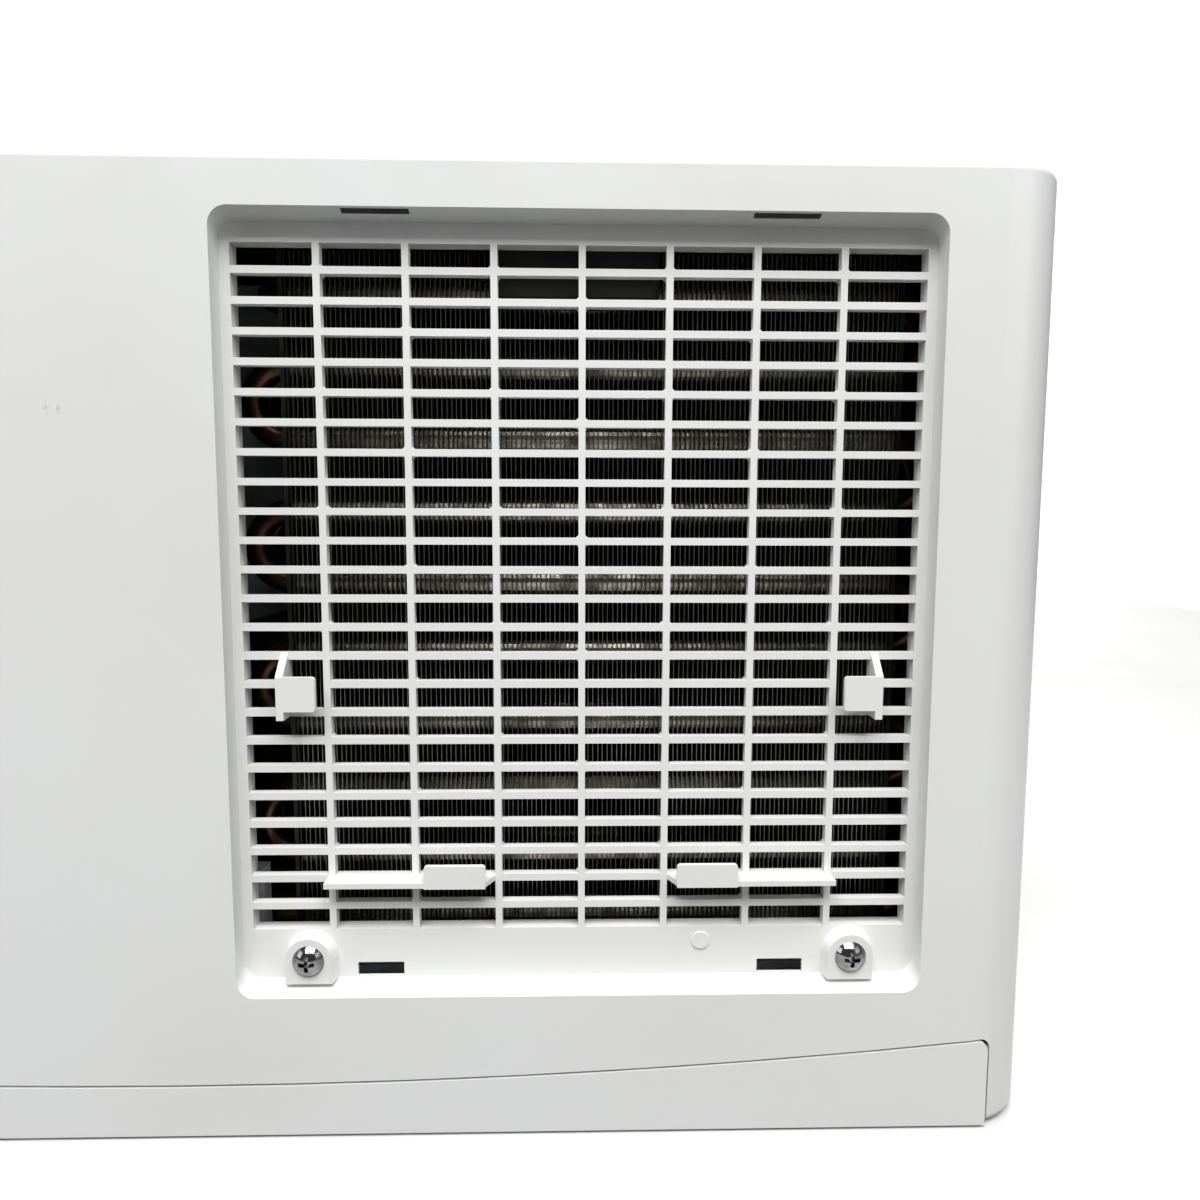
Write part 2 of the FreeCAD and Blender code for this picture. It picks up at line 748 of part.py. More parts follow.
# ---- controls --------------------------------------------------------------------------------
def control_fascia():
    """A shallow tub behind the panel's opening that the knobs stand in."""
    w = 2.0
    y0 = front + panel_wall
    y1 = control_y + panel_wall
    flange = block(outlet_x0 - w - 5, outlet_x1 + w + 5, y0, y0 + w,
                   control_bottom - w - 5, control_z1 + w + 5)
    outer = block(outlet_x0 - w, outlet_x1 + w, y0, y1, control_bottom - w, control_z1 + w)
    inner = rounded_block(outlet_x0, outlet_x1, control_bottom, control_z1, opening_radius,
                          y0 - 1, control_y)
    holes = [
        rod_y(knob_shaft + running_gap, mode_x, control_z, control_y - 1, y1 + 1),
        rod_y(knob_shaft + running_gap, thermostat_x, control_z, control_y - 1, y1 + 1),
        rod_y(vent_rod + pivot_fit, vent_x, control_z, control_y - 1, y1 + 1),
    ]
    return flange.fuse(outer).cut([inner] + holes).removeSplitter()


def knob(x):
    """A round knob with a finger bar across it and its shaft behind."""
    y0 = control_y - 1.0 - knob_length
    skirt_y = control_y - 1.0 - 5.0
    grip_y = y0
    body = turned([(0, 0), (0, knob_radius - 1.0), (1.0, knob_radius), (5.0, knob_radius), (5.0, 0)],
                  vec(x, skirt_y, control_z))
    crown = block(x - 4.0, x + 4.0, grip_y, skirt_y + 1, control_z - knob_radius + 2.0,
                  control_z + knob_radius - 2.0)
    crown = rounded(crown, 2.0, lambda edge: all_at(edge, "y", grip_y))
    core = rod_y(9.0, x, control_z, grip_y + 4.0, skirt_y + 1)
    shaft = rod_y(knob_shaft, x, control_z, skirt_y + 2, control_y + 13.0)
    return joined([body, crown, core, shaft])


def vent_knob():
    bore = vent_rod + 0.05
    return turned([(0, 0), (0, vent_knob_radius - 1.5), (1.5, vent_knob_radius),
                   (6.0, vent_knob_radius - 1.0), (12.0, vent_knob_radius - 3.0), (12.0, bore),
                   (2.0, bore), (2.0, 0)], vec(vent_x, control_y - 13.5, control_z))


def vent_plunger():
    """The vent's rod, with the disc that closes the port in the bulkhead."""
    knob_y = control_y - 11.5
    stem = rod_y(vent_rod, vent_x, control_z, knob_y, bulkhead_y + sheet + 5.0 + vent_travel + 2.0)
    disc = rod_y(vent_port + vent_overlap, vent_x, control_z, bulkhead_y - 2.0, bulkhead_y)
    return joined([stem, disc])


def switch_body(x, wide, high, deep):
    y0 = control_y + panel_wall
    body = block(x - wide / 2, x + wide / 2, y0, y0 + deep, control_z - high / 2,
                 control_z + high / 2)
    body = rounded(body, 1.5, lambda edge: is_along(edge, AXIS_Y))
    bore = rod_y(knob_shaft + 0.06, x, control_z, y0 - 1, control_y + 14.0)
    terminals = [block(x + k * 8.0 - 3.0, x + k * 8.0 + 3.0, y0 + deep, y0 + deep + 6.0,
                       control_z - 0.4, control_z + 0.4) for k in (-1, 1)]
    return joined([body.cut(bore)] + terminals)


def control_box():
    w = 1.2
    x0 = outlet_x0 + 2.0
    x1 = outlet_x0 + control_box_width
    y0 = control_y + panel_wall
    y1 = bulkhead_y - 20.0
    z0 = control_bottom - 2.0
    z1 = control_z1 + 2.0
    outer = block(x0, x1, y0, y1, z0, z1)
    inner = block(x0 + w, x1 - w, y0 - 1, y1 - w, z0 + w, z1 - w)
    bulb_hole = rod(2.0, vec(x1 - w - 1, bulb_line_y, bulb_line_z), AXIS_X, w + 2)
    legs = [block(x, x + w, y0 + 12, y1 - 12, pan_floor, z0) for x in (x0 + 6, x1 - 6 - w)]
    return joined([outer.cut([inner, bulb_hole])] + legs)


def capacitor():
    y1 = bulkhead_y - 20.0 - 1.2
    y0 = y1 - 52.0
    z = control_bottom - 2.0 + 1.2 + capacitor_radius
    can = rod_y(capacitor_radius, mode_x, z, y0, y1)
    tabs = [block(mode_x + k * 9.0 - 3.0, mode_x + k * 9.0 + 3.0, y0 - 6.0, y0, z - 0.4, z + 0.4)
            for k in (-1, 1)]
    return joined([can] + tabs)


# ---- cooling coil and drain ------------------------------------------------------------------
def tube_place(high, deep, z1, y0):
    """Height and depth of one coil tube, counted down from the top and back from the front."""
    return z1 - (high + 0.5) * tube_pitch, y0 + (deep + 0.5) * tube_row_pitch


def serpentine(x0, x1, z1, y0, high, deep, first_row):
    """One tube wound through every row, in at one side and out beside it."""
    order = list(range(high))
    if first_row != 0:
        order.reverse()
    places = [tube_place(row, 0, z1, y0) for row in order]
    for layer in range(1, deep):
        places += [tube_place(row, layer, z1, y0) for row in reversed(order)]
    points = []
    edges = []
    stub = 8.0
    for number, (z, y) in enumerate(places):
        forward = number % 2 == 0
        start_x, end_x = (x0, x1) if forward else (x1, x0)
        if number == 0:
            start_x = x0 - stub
        if number == len(places) - 1:
            end_x = x0 - stub if not forward else x1 + stub
        edges.append(Part.makeLine(vec(start_x, y, z), vec(end_x, y, z)))
        if number < len(places) - 1:
            next_z, next_y = places[number + 1]
            here = vec(end_x, y, z)
            there = vec(end_x, next_y, next_z)
            out = (there - here).Length / 2 * (1 if forward else -1)
            middle = (here + there) * 0.5 + AXIS_X * out
            edges.append(Part.Arc(here, middle, there).toShape())
    return swept(Part.Wire(edges), tube_radius)


def tube_bores(x0, x1, z1, y0, high, deep):
    bores = []
    for layer in range(deep):
        for row in range(high):
            z, y = tube_place(row, layer, z1, y0)
            bores.append(rod(tube_radius + tube_fit, vec(x0 - 1, y, z), AXIS_X, x1 - x0 + 2))
    return bores


def evaporator_bores():
    return tube_bores(fins_x0 - end_plate, fins_x1 + end_plate, fins_z1, fins_front,
                      evaporator_tubes_high, evaporator_tubes_deep)


def evaporator_fins():
    pack = block(fins_x0, fins_x1, fins_front, fins_front + coil_depth, fins_z0, fins_z1)
    return pack.cut(evaporator_bores())


def evaporator_tubes():
    return serpentine(fins_x0 - end_plate - 0.5, fins_x1 + end_plate + 0.5, fins_z1, fins_front,
                      evaporator_tubes_high, evaporator_tubes_deep, evaporator_tubes_high - 1)


def evaporator_plates():
    y0 = fins_front - 2.0
    y1 = fins_front + coil_depth + 2.0
    z0 = tray_z0 + tray_wall
    plates = [block(fins_x0 - end_plate, fins_x0, y0, y1, z0, fins_z1 + 2.0),
              block(fins_x1, fins_x1 + end_plate, y0, y1, z0, fins_z1 + 2.0)]
    bores = evaporator_bores()
    return group([plate.cut(bores) for plate in plates])


def drain_tray():
    x0 = fins_x0 - tray_overhang
    x1 = fins_x1 + tray_overhang
    z1 = tray_top
    w = tray_wall
    outer = block(x0, x1, tray_y0, tray_y1, tray_z0, z1)
    outer = rounded(outer, 3.0, lambda edge: is_along(edge, AXIS_Z))
    inner = block(x0 + w, x1 - w, tray_y0 + w, tray_y1 - w, tray_z0 + w, z1 + 1)
    spout = block(x1 - 26, x1 - 10, tray_y1 - w, bulkhead_y + 8, tray_z0, tray_z0 + 10)
    channel = block(x1 - 24, x1 - 12, tray_y1 - w - 1, bulkhead_y + 9, tray_z0 + w, tray_z0 + 11)
    legs = [block(x - 8, x + 8, tray_y0 + 6, tray_y1 - 6, pan_floor, tray_z0)
            for x in (x0 + 22, (x0 + x1) / 2, x1 - 22)]
    tray = joined([outer, spout] + legs)
    return tray.cut([inner, channel]).removeSplitter()


def coil_seal():
    """Foam block that closes the gap at the coil's lower left corner."""
    x1 = fins_x0 - end_plate - 9.0
    z0 = tray_z0 + tray_wall
    return block(fins_x0 - tray_overhang + tray_wall, x1, fins_front - 4.0, fins_front + 2.5,
                 z0, fins_z0 + 30.0)


def bulb_holder():
    """Clip on the coil's face that grips the thermostat bulb."""
    x0 = grille_x0 + 70.0
    x1 = x0 + 45.0
    z0 = bulb_z - 6.5
    z1 = bulb_z + 6.5
    body = block(x0, x1, bulb_y - 4.5, fins_front, z0, z1)
    body = rounded(body, 1.5, lambda edge: is_along(edge, AXIS_Z) and all_at(edge, "y", bulb_y - 4.5))
    hook = block(x0 + 14, x1 - 14, bulb_y - 4.5, fins_front + 6.0, fins_z1, fins_z1 + 1.8)
    neck = block(x0 + 14, x1 - 14, bulb_y - 4.5, fins_front, z1 - 1, fins_z1 + 1.8)
    bore = rod(bulb_radius + 0.1, vec(x0 - 1, bulb_y, bulb_z), AXIS_X, x1 - x0 + 2)
    return joined([body, hook, neck]).cut(bore)


def thermostat_bulb():
    x0 = grille_x0 + 70.0
    bulb = rod(bulb_radius, vec(x0 + 1, bulb_y, bulb_z), AXIS_X, 43.0)
    start_x = thermostat_x + 20.0
    over = grille_z1 + 9.0
    line_x = outlet_x1 + 14.0
    lead = pipe([(start_x, bulb_line_y, bulb_line_z), (line_x, bulb_line_y, bulb_line_z),
                 (line_x, bulb_y, over), (x0 - 8, bulb_y, over), (x0 - 8, bulb_y, bulb_z),
                 (x0 + 2, bulb_y, bulb_z)], 1.0, 6.0)
    return joined([bulb, lead])


# ---- blower and air duct ---------------------------------------------------------------------
def scroll_face(grow, y):
    """Face of the blower's spiral with the duct that leads to the outlet."""
    low = blower_radius + scroll_gap
    high = outlet_z1 - fan_z
    sweep = 450.0 - tongue_angle
    points = []
    for step in range(39):
        angle = math.radians(tongue_angle + sweep * step / 38)
        radius = low + (high - low) * step / 38 + grow
        points.append(vec(fan_x + radius * math.cos(angle), y, fan_z + radius * math.sin(angle)))
    curve = Part.BSplineCurve()
    curve.interpolate(points)
    spiral = Part.Face(Part.Wire([curve.toShape(), Part.makeLine(points[-1], points[0])]))
    tongue = points[0]
    duct = Part.makePolygon([
        points[-1], vec(outlet_x0 - grow, y, outlet_z1 + grow), vec(outlet_x0 - grow, y, outlet_z0 - grow),
        vec(-20.0, y, outlet_z0 - grow), vec(tongue.x + grow, y, tongue.z - grow), tongue, points[-1]])
    return spiral, Part.Face(duct)


def scroll_solid(grow, y0, y1):
    spiral, duct = scroll_face(grow, y0)
    reach = vec(0, y1 - y0, 0)
    return spiral.extrude(reach).fuse(duct.extrude(reach))


def scroll_housing():
    y0 = scroll_y
    outer = scroll_solid(scroll_wall, y0, bulkhead_y)
    w = sleeve_wall
    collar = block(outlet_x0 - w, outlet_x1 + w, sleeve_end, y0, outlet_z0 - w, outlet_z1 + w)
    inner = scroll_solid(0, y0 + scroll_wall, bulkhead_y + 1)
    inlet = rod_y(blower_radius - 14.0, fan_x, fan_z, y0 - 1, y0 + scroll_wall + 1)
    outlet = block(outlet_x0, outlet_x1, sleeve_end - 1, y0 + scroll_wall + 1, outlet_z0, outlet_z1)
    return outer.fuse(collar).cut([inner, inlet, outlet]).removeSplitter()


def blower_wheel():
    y0 = scroll_y + scroll_wall + 4.0
    y1 = bulkhead_y - 4.0
    centre = vec(fan_x, 0, fan_z)
    chord = 11.0
    shapes = [
        rod_y(blower_radius, fan_x, fan_z, y1 - 1.6, y1),
        rod_y(12.0, fan_x, fan_z, y1 - 26.0, y1),
        rod_y(blower_radius, fan_x, fan_z, y0, y0 + 2.0).cut(
            rod_y(blower_radius - chord - 1.0, fan_x, fan_z, y0 - 1, y0 + 3.0)),
    ]
    for number in range(blower_blades):
        blade = block(fan_x + blower_radius - chord, fan_x + blower_radius - 0.9, y0 + 0.5, y1 - 0.5,
                      fan_z - 0.5, fan_z + 0.5)
        blade.rotate(vec(fan_x + blower_radius - 0.9, 0, fan_z), AXIS_Y, 24)
        blade.rotate(centre, AXIS_Y, 360.0 / blower_blades * number)
        shapes.append(blade)
    wheel = joined(shapes)
    return wheel.cut(rod_y(shaft_radius, fan_x, fan_z, y0 - 1, y1 + 1))


# ---- motor, shaft and condenser fan ----------------------------------------------------------
def motor():
    length = motor_y1 - motor_y0
    bore = shaft_radius + 0.05
    profile = [(0, bore), (0, 13), (7, 15), (8, 36), (14, motor_radius - 2), (18, motor_radius),
               (length - 18, motor_radius), (length - 14, motor_radius - 2), (length - 8, 36),
               (length - 7, 15), (length, 13), (length, bore)]
    return turned(profile, vec(fan_x, motor_y0, fan_z))


def motor_shaft():
    return rod_y(shaft_radius, fan_x, fan_z, bulkhead_y - 38.0, fan_y1 - 3.0)


def motor_bracket():
    plates = []
    for y in (motor_y0 + 24.0, motor_y1 - 27.0):
        wall = block(fan_x - 56, fan_x + 56, y, y + 3.0, pan_floor, fan_z)
        ring = rod_y(motor_radius + 6.0, fan_x, fan_z, y, y + 3.0)
        plates += [wall, ring]
    flange = block(fan_x - 56, fan_x + 56, motor_y0 + 24.0, motor_y1 - 24.0,
                   pan_floor, pan_floor + 3.0)
    return joined(plates + [flange]).cut(rod_y(motor_radius + running_gap, fan_x, fan_z, motor_y0, motor_y1))


def condenser_fan():
    hub_radius = 30.0
    middle = (fan_y0 + fan_y1) / 2
    hub = turned([(0, 0), (0, hub_radius - 4), (4, hub_radius), (26, hub_radius), (26, 0)],
                 vec(fan_x, middle - 13, fan_z))
    ring = rod_y(fan_radius + slinger, fan_x, fan_z, middle - 2, middle + 8)
    ring = ring.cut(rod_y(fan_radius - 1.0, fan_x, fan_z, middle - 3, middle + 9))
    shapes = [hub, ring]
    limit = rod_y(fan_radius + 1.0, fan_x, fan_z, fan_y0, fan_y1)
    for number in range(fan_blades):
        blade = block(fan_x + hub_radius - 6, fan_x + fan_radius + 3, middle - 1.2, middle + 1.2,
                      fan_z - 34, fan_z + 34)
        blade.rotate(vec(fan_x, middle, fan_z), AXIS_X, 26)
        blade = blade.common(limit)
        blade.rotate(vec(fan_x, middle, fan_z), AXIS_Y, 360.0 / fan_blades * number)
        shapes.append(blade)
    bore = rod_y(shaft_radius, fan_x, fan_z, fan_y0 - 1, fan_y1 + 1)
    return hub.multiFuse(shapes[1:]).cut(bore)


def fan_shroud():
    opening = fan_radius + shroud_gap
    x1 = pan_half - sheet
    plate = block(condenser_x0 + 2.0, x1, shroud_y, shroud_y + sheet, pan_floor, ceiling - 1.0)
    collar = rod_y(opening + sheet, fan_x, fan_z, shroud_y - 14.0, shroud_y + sheet)
    feet_flange = block(condenser_x0 + 2.0, x1, shroud_y - 10.0, shroud_y, pan_floor, pan_floor + sheet)
    return joined([plate, collar, feet_flange]).cut(
        rod_y(opening, fan_x, fan_z, shroud_y - 15, shroud_y + 2))


def bulkhead():
    x = pan_half - sheet
    y1 = bulkhead_y + sheet
    plate = block(-x, x, bulkhead_y, y1, pan_floor, ceiling)
    foot = block(-x, x, bulkhead_y, bulkhead_y + 9.0, pan_floor, pan_floor + sheet)
    tray_x1 = fins_x1 + tray_overhang
    cuts = [
        rod_y(15.5, fan_x, fan_z, bulkhead_y - 1, y1 + 1),
        rod_y(suction_radius + 1.5, suction_x, low_tube_z, bulkhead_y - 1, y1 + 1),
        rod_y(capillary_radius + 1.5, capillary_x, capillary_z, bulkhead_y - 1, y1 + 1),
        rod_y(vent_port, vent_x, control_z, bulkhead_y - 1, y1 + 1),
        block(tray_x1 - 27, tray_x1 - 9, bulkhead_y - 1, bulkhead_y + 10, tray_z0 - 1, tray_z0 + 12),
    ]
    spider = [
        block(vent_x - vent_port - 1, vent_x + vent_port + 1, bulkhead_y, y1, control_z - 2, control_z + 2),
        block(vent_x - 2, vent_x + 2, bulkhead_y, y1, control_z - vent_port - 1, control_z + vent_port + 1),
        rod_y(6.0, vent_x, control_z, bulkhead_y, y1 + 5.0),
    ]
    bore = rod_y(vent_rod + pivot_fit, vent_x, control_z, bulkhead_y - 1, y1 + 6)
    return plate.fuse(foot).cut(cuts).multiFuse(spider).cut(bore).removeSplitter()


# ---- condenser -------------------------------------------------------------------------------
def condenser_bores():
    return tube_bores(condenser_x0 - end_plate, condenser_x1 + end_plate, condenser_z1,
                      condenser_front, condenser_tubes_high, condenser_tubes_deep)


def condenser_fins():
    pack = block(condenser_x0, condenser_x1, condenser_front, condenser_back, condenser_z0, condenser_z1)
    return pack.cut(condenser_bores())


def condenser_tubes():
    return serpentine(condenser_x0 - end_plate - 0.5, condenser_x1 + end_plate + 0.5, condenser_z1,
                      condenser_front, condenser_tubes_high, condenser_tubes_deep, 0)


def condenser_plates():
    y0 = shroud_y + sheet
    y1 = condenser_back + 2.0
    z1 = condenser_z1 + 2.0
    plates = [block(condenser_x0 - end_plate, condenser_x0, y0, y1, pan_floor, z1),
              block(condenser_x1, condenser_x1 + end_plate, y0, y1, pan_floor, z1)]
    bores = condenser_bores()
    return group([plate.cut(bores) for plate in plates])


# ---- compressor and pipework -----------------------------------------------------------------
def compressor():
    tall = compressor_z1 - compressor_z0
    r = compressor_radius
    shell = turned([(0, 0), (0, 0.6 * r), (6, 0.9 * r), (14, r), (0.45 * tall, r),
                    (0.45 * tall, r + 1.5), (0.45 * tall + 8, r + 1.5), (0.45 * tall + 8, r),
                    (tall - 20, r), (tall - 8, 0.86 * r), (tall - 2, 0.5 * r), (tall, 0.2 * r), (tall, 0)],
                   vec(compressor_x, compressor_y, compressor_z0), AXIS_Z)
    plate = rod(r + 8.0, vec(compressor_x, compressor_y, compressor_z0 - 3.0), AXIS_Z, 3.0)
    shapes = [shell, plate]
    for x, y in mount_places():
        shapes.append(rod(15.0, vec(x, y, compressor_z0 - 3.0), AXIS_Z, 3.0))
    holes = [rod(grommet_neck, vec(x, y, compressor_z0 - 4.0), AXIS_Z, 5.0) for x, y in mount_places()]
    return joined(shapes).cut(holes)


def mount_places():
    reach = compressor_radius + 15.0
    angles = [math.radians(a) for a in (30, 150, 270)]
    return [(compressor_x + reach * math.cos(a), compressor_y + reach * math.sin(a)) for a in angles]


def compressor_grommets():
    z1 = compressor_z0
    shapes = []
    for x, y in mount_places():
        profile = [(0, bolt_radius), (0, 12.0), (z1 - 3.0 - pan_floor, 10.0),
                   (z1 - 3.0 - pan_floor, grommet_neck), (z1 - pan_floor, grommet_neck),
                   (z1 - pan_floor, 9.0), (z1 + 4.0 - pan_floor, 8.0), (z1 + 4.0 - pan_floor, bolt_radius)]
        shapes.append(turned(profile, vec(x, y, pan_floor), AXIS_Z))
    return group(shapes)


def compressor_bolts():
    z1 = compressor_z0 + 4.0
    shapes = []
    for x, y in mount_places():
        stud = rod(bolt_radius, vec(x, y, pan_floor), AXIS_Z, z1 + 9.0 - pan_floor)
        washer = rod(8.0, vec(x, y, z1), AXIS_Z, 1.0)
        corners = [vec(x + 5.8 * math.cos(math.radians(a)), y + 5.8 * math.sin(math.radians(a)), z1 + 1.0)
                   for a in range(0, 360, 60)]
        nut = Part.Face(Part.makePolygon(corners + corners[:1])).extrude(vec(0, 0, 5.0))
        shapes.append(joined([stud, washer, nut]))
    return group(shapes)


def accumulator():
    tall = accumulator_z1 - accumulator_z0
    r = accumulator_radius
    can = turned([(0, 0), (0, 0.4 * r), (5, 0.8 * r), (11, r), (tall - 11, r), (tall - 5, 0.8 * r),
                  (tall, 0.4 * r), (tall, 0)], vec(accumulator_x, compressor_y, accumulator_z0), AXIS_Z)
    side = compressor_x + compressor_radius
    low = accumulator_z0 - 22.0
    elbow = pipe([(accumulator_x, compressor_y, accumulator_z0 + 2), (accumulator_x, compressor_y, low),
                  (side - 2, compressor_y, low)], suction_radius, 12.0)
    clamp = block(side - 3, accumulator_x - r + 3, compressor_y - 7, compressor_y + 7,
                  accumulator_z1 - 50, accumulator_z1 - 38)
    return joined([can, elbow, clamp]).cut(compressor())


def suction_pipe():
    start_x = fins_x0 - end_plate - 0.5 - 8.0
    y = tube_place(0, evaporator_tubes_deep - 1, fins_z1, fins_front)[1]
    high = ceiling - 14.0
    return pipe([(start_x, y, low_tube_z), (suction_x, y, low_tube_z),
                 (suction_x, bulkhead_y + 26, low_tube_z), (suction_x, bulkhead_y + 26, high),
                 (accumulator_x, compressor_y, high), (accumulator_x, compressor_y, accumulator_z1)],
                suction_radius, 14.0)


def discharge_pipe():
    start_x = condenser_x0 - end_plate - 0.5 - 8.0
    z, y = tube_place(0, condenser_tubes_deep - 1, condenser_z1, condenser_front)
    high = z + 14.0
    return pipe([(compressor_x, compressor_y, compressor_z1), (compressor_x, compressor_y, high),
                 (start_x - 7.0, compressor_y, high), (start_x - 7.0, y, high), (start_x - 7.0, y, z),
                 (start_x, y, z)], discharge_radius, 8.0)


def filter_drier():
    """The drier, with the liquid line that brings refrigerant down from the condenser."""
    start_x = condenser_x0 - end_plate - 0.5 - 8.0
    z, y = tube_place(0, 0, condenser_z1, condenser_front)
    x = drier_x
    run = pipe([(start_x, y, z), (x, y, z), (x, y, z - 24), (x, drier_y, z - 24),
                (x, drier_y, drier_z1)], 2.5, 4.0)
    tall = drier_z1 - drier_z0
    can = turned([(0, 0), (0, 3.0), (9, 8.0), (tall - 9, 8.0), (tall, 3.0), (tall, 0)],
                 vec(x, drier_y, drier_z0), AXIS_Z)
    return joined([run, can])


def capillary():
    end_x = fins_x0 - end_plate - 0.5 - 8.0
    y = tube_place(0, 0, fins_z1, fins_front)[1]
    return pipe([(drier_x, drier_y, drier_z0), (drier_x, drier_y, capillary_z),
                 (drier_x, bulkhead_y + 16, capillary_z), (capillary_x, bulkhead_y + 16, capillary_z),
                 (capillary_x, y, capillary_z), (capillary_x, y, low_tube_z), (end_x, y, low_tube_z)],
                capillary_radius, 6.0)


# ---- pan, case, guard and fixings ------------------------------------------------------------
def base_pan():
    outer = block(-pan_half, pan_half, pan_front, pan_back, foot_height, foot_height + pan_wall_height)
    outer = rounded(outer, pan_corner,
                    lambda edge: is_along(edge, AXIS_Z) and all_at(edge, "y", pan_front))
    inner = block(-pan_half + sheet, pan_half - sheet, pan_front + sheet, pan_back - sheet,
                  pan_floor, foot_height + pan_wall_height + 1)
    inner = rounded(inner, pan_corner - sheet,
                    lambda edge: is_along(edge, AXIS_Z) and all_at(edge, "y", pan_front + sheet))
    shapes = [outer.cut(inner)]
    holes = [rod(drain_radius, vec(pan_half - 40, pan_back - 12, foot_height - 1), AXIS_Z, sheet + 2)]
    for side in (-1, 1):
        middle = grille_middle + side * screw_offset
        shapes.append(block(middle - 9, middle + 9, pan_front + sheet, pan_front + 2 * sheet,
                            pan_floor, grille_z0 - 2.3))
        holes.append(rod_y(screw_shank / 2, middle, screw_z, pan_front, pan_front + 2 * sheet + 1))
    for x, z in case_screw_places():
        holes.append(rod(case_screw, vec(x[0], x[1], z), AXIS_X, x[2]))
    return joined(shapes).cut(holes)


def case_screw_places():
    """Start, depth and length of each case screw's bore, and its height."""
    places = []
    for y in (front + 60, 0.0, rear - 30):
        places.append(((-case_half - 1, y, 4.0), foot_height + 15.0))
        places.append(((case_half + 1 - 4.0, y, 4.0), foot_height + 15.0))
    return places


def case_screws():
    shapes = []
    for side in (-1, 1):
        for y in (front + 60, 0.0, rear - 30):
            seat = vec(side * case_half, y, foot_height + 15.0)
            shank = rod(case_screw, seat, AXIS_X * -side, 8.0)
            head = turned([(0, 0), (0, 4.0), (0.9, 3.4), (1.5, 2.0), (1.5, 0)], vec(0, 0, 0), AXIS_Z)
            head.rotate(vec(0, 0, 0), AXIS_Y, 90 * side)
            head.translate(seat)
            shapes.append(joined([shank, head]))
    return group(shapes)


def feet():
    pads = []
    for x in (-pan_half + foot_inset, pan_half - foot_inset):
        for y in (pan_front + foot_inset, pan_back - foot_inset):
            pads.append(turned([(0, 0), (0, foot_radius - 0.8), (0.8, foot_radius),
                                (foot_height, foot_radius), (foot_height, 0)], vec(x, y, 0), AXIS_Z))
    return group(pads)


def outer_case():
    y0 = front + panel_corner + 0.5
    y1 = rear - guard_thickness
    outer = block(-case_half, case_half, y0, y1, foot_height, case_top)
    inner = block(-pan_half, pan_half, y0 - 1, y1 + 1, foot_height - 1, ceiling)
    cuts = [inner]
    slots = int((ceiling - 2 * case_slot_margin) / case_slot_step)
    for bank in range(case_slot_banks):
        y = bulkhead_y + 22.0 + bank * (case_slot_length + 12.0)
        for row in range(slots):
            z = case_slot_margin + row * case_slot_step
            cuts.append(block(-case_half - 1, case_half + 1, y, y + case_slot_length, z, z + case_slot))
    for x, z in case_screw_places():
        cuts.append(rod(case_screw, vec(x[0], x[1], z), AXIS_X, x[2]))
    return outer.cut(cuts)


def rear_guard():
    y0 = rear - guard_thickness
    plate = block(-pan_half, pan_half, y0, rear, foot_height, case_top - case_sheet)
    cuts = []
    border = 16.0
    span = 2 * (pan_half - border)
    cell = (span + 6.0) / guard_columns
    rows_high = int((case_top - case_sheet - foot_height - 2 * border + 3.0) / guard_step)
    for column in range(guard_columns):
        x0 = -pan_half + border + column * cell
        for row in range(rows_high):
            z0 = foot_height + border + row * guard_step
            cuts.append(block(x0, x0 + cell - 6.0, y0 - 1, rear + 1, z0, z0 + guard_step - 3.0))
    return plate.cut(cuts)


def sash_angle_part():
    y0 = -60.0
    half = sash_angle_length / 2
    flat = block(-half, half, y0, y0 + sash_angle, case_top, case_top + 1.5)
    wall = block(-half, half, y0, y0 + 1.5, case_top, case_top + sash_angle)
    holes = [rod_y(sash_hole, x, case_top + 12.0, y0 - 1, y0 + 3)
             for x in (-sash_outer / 2, -sash_inner / 2, sash_inner / 2, sash_outer / 2)]
    return joined([flat, wall]).cut(holes)


def cord_gland():
    body = rod_y(gland_radius, gland_place, gland_height, front + 0.4, pan_front - 2.0)
    flange = rod_y(gland_radius + 2.0, gland_place, gland_height, front + panel_wall,
                   front + panel_wall + 2.0)
    return joined([body, flange]).cut(
        rod_y(gland_bore, gland_place, gland_height, front - 1, pan_front))


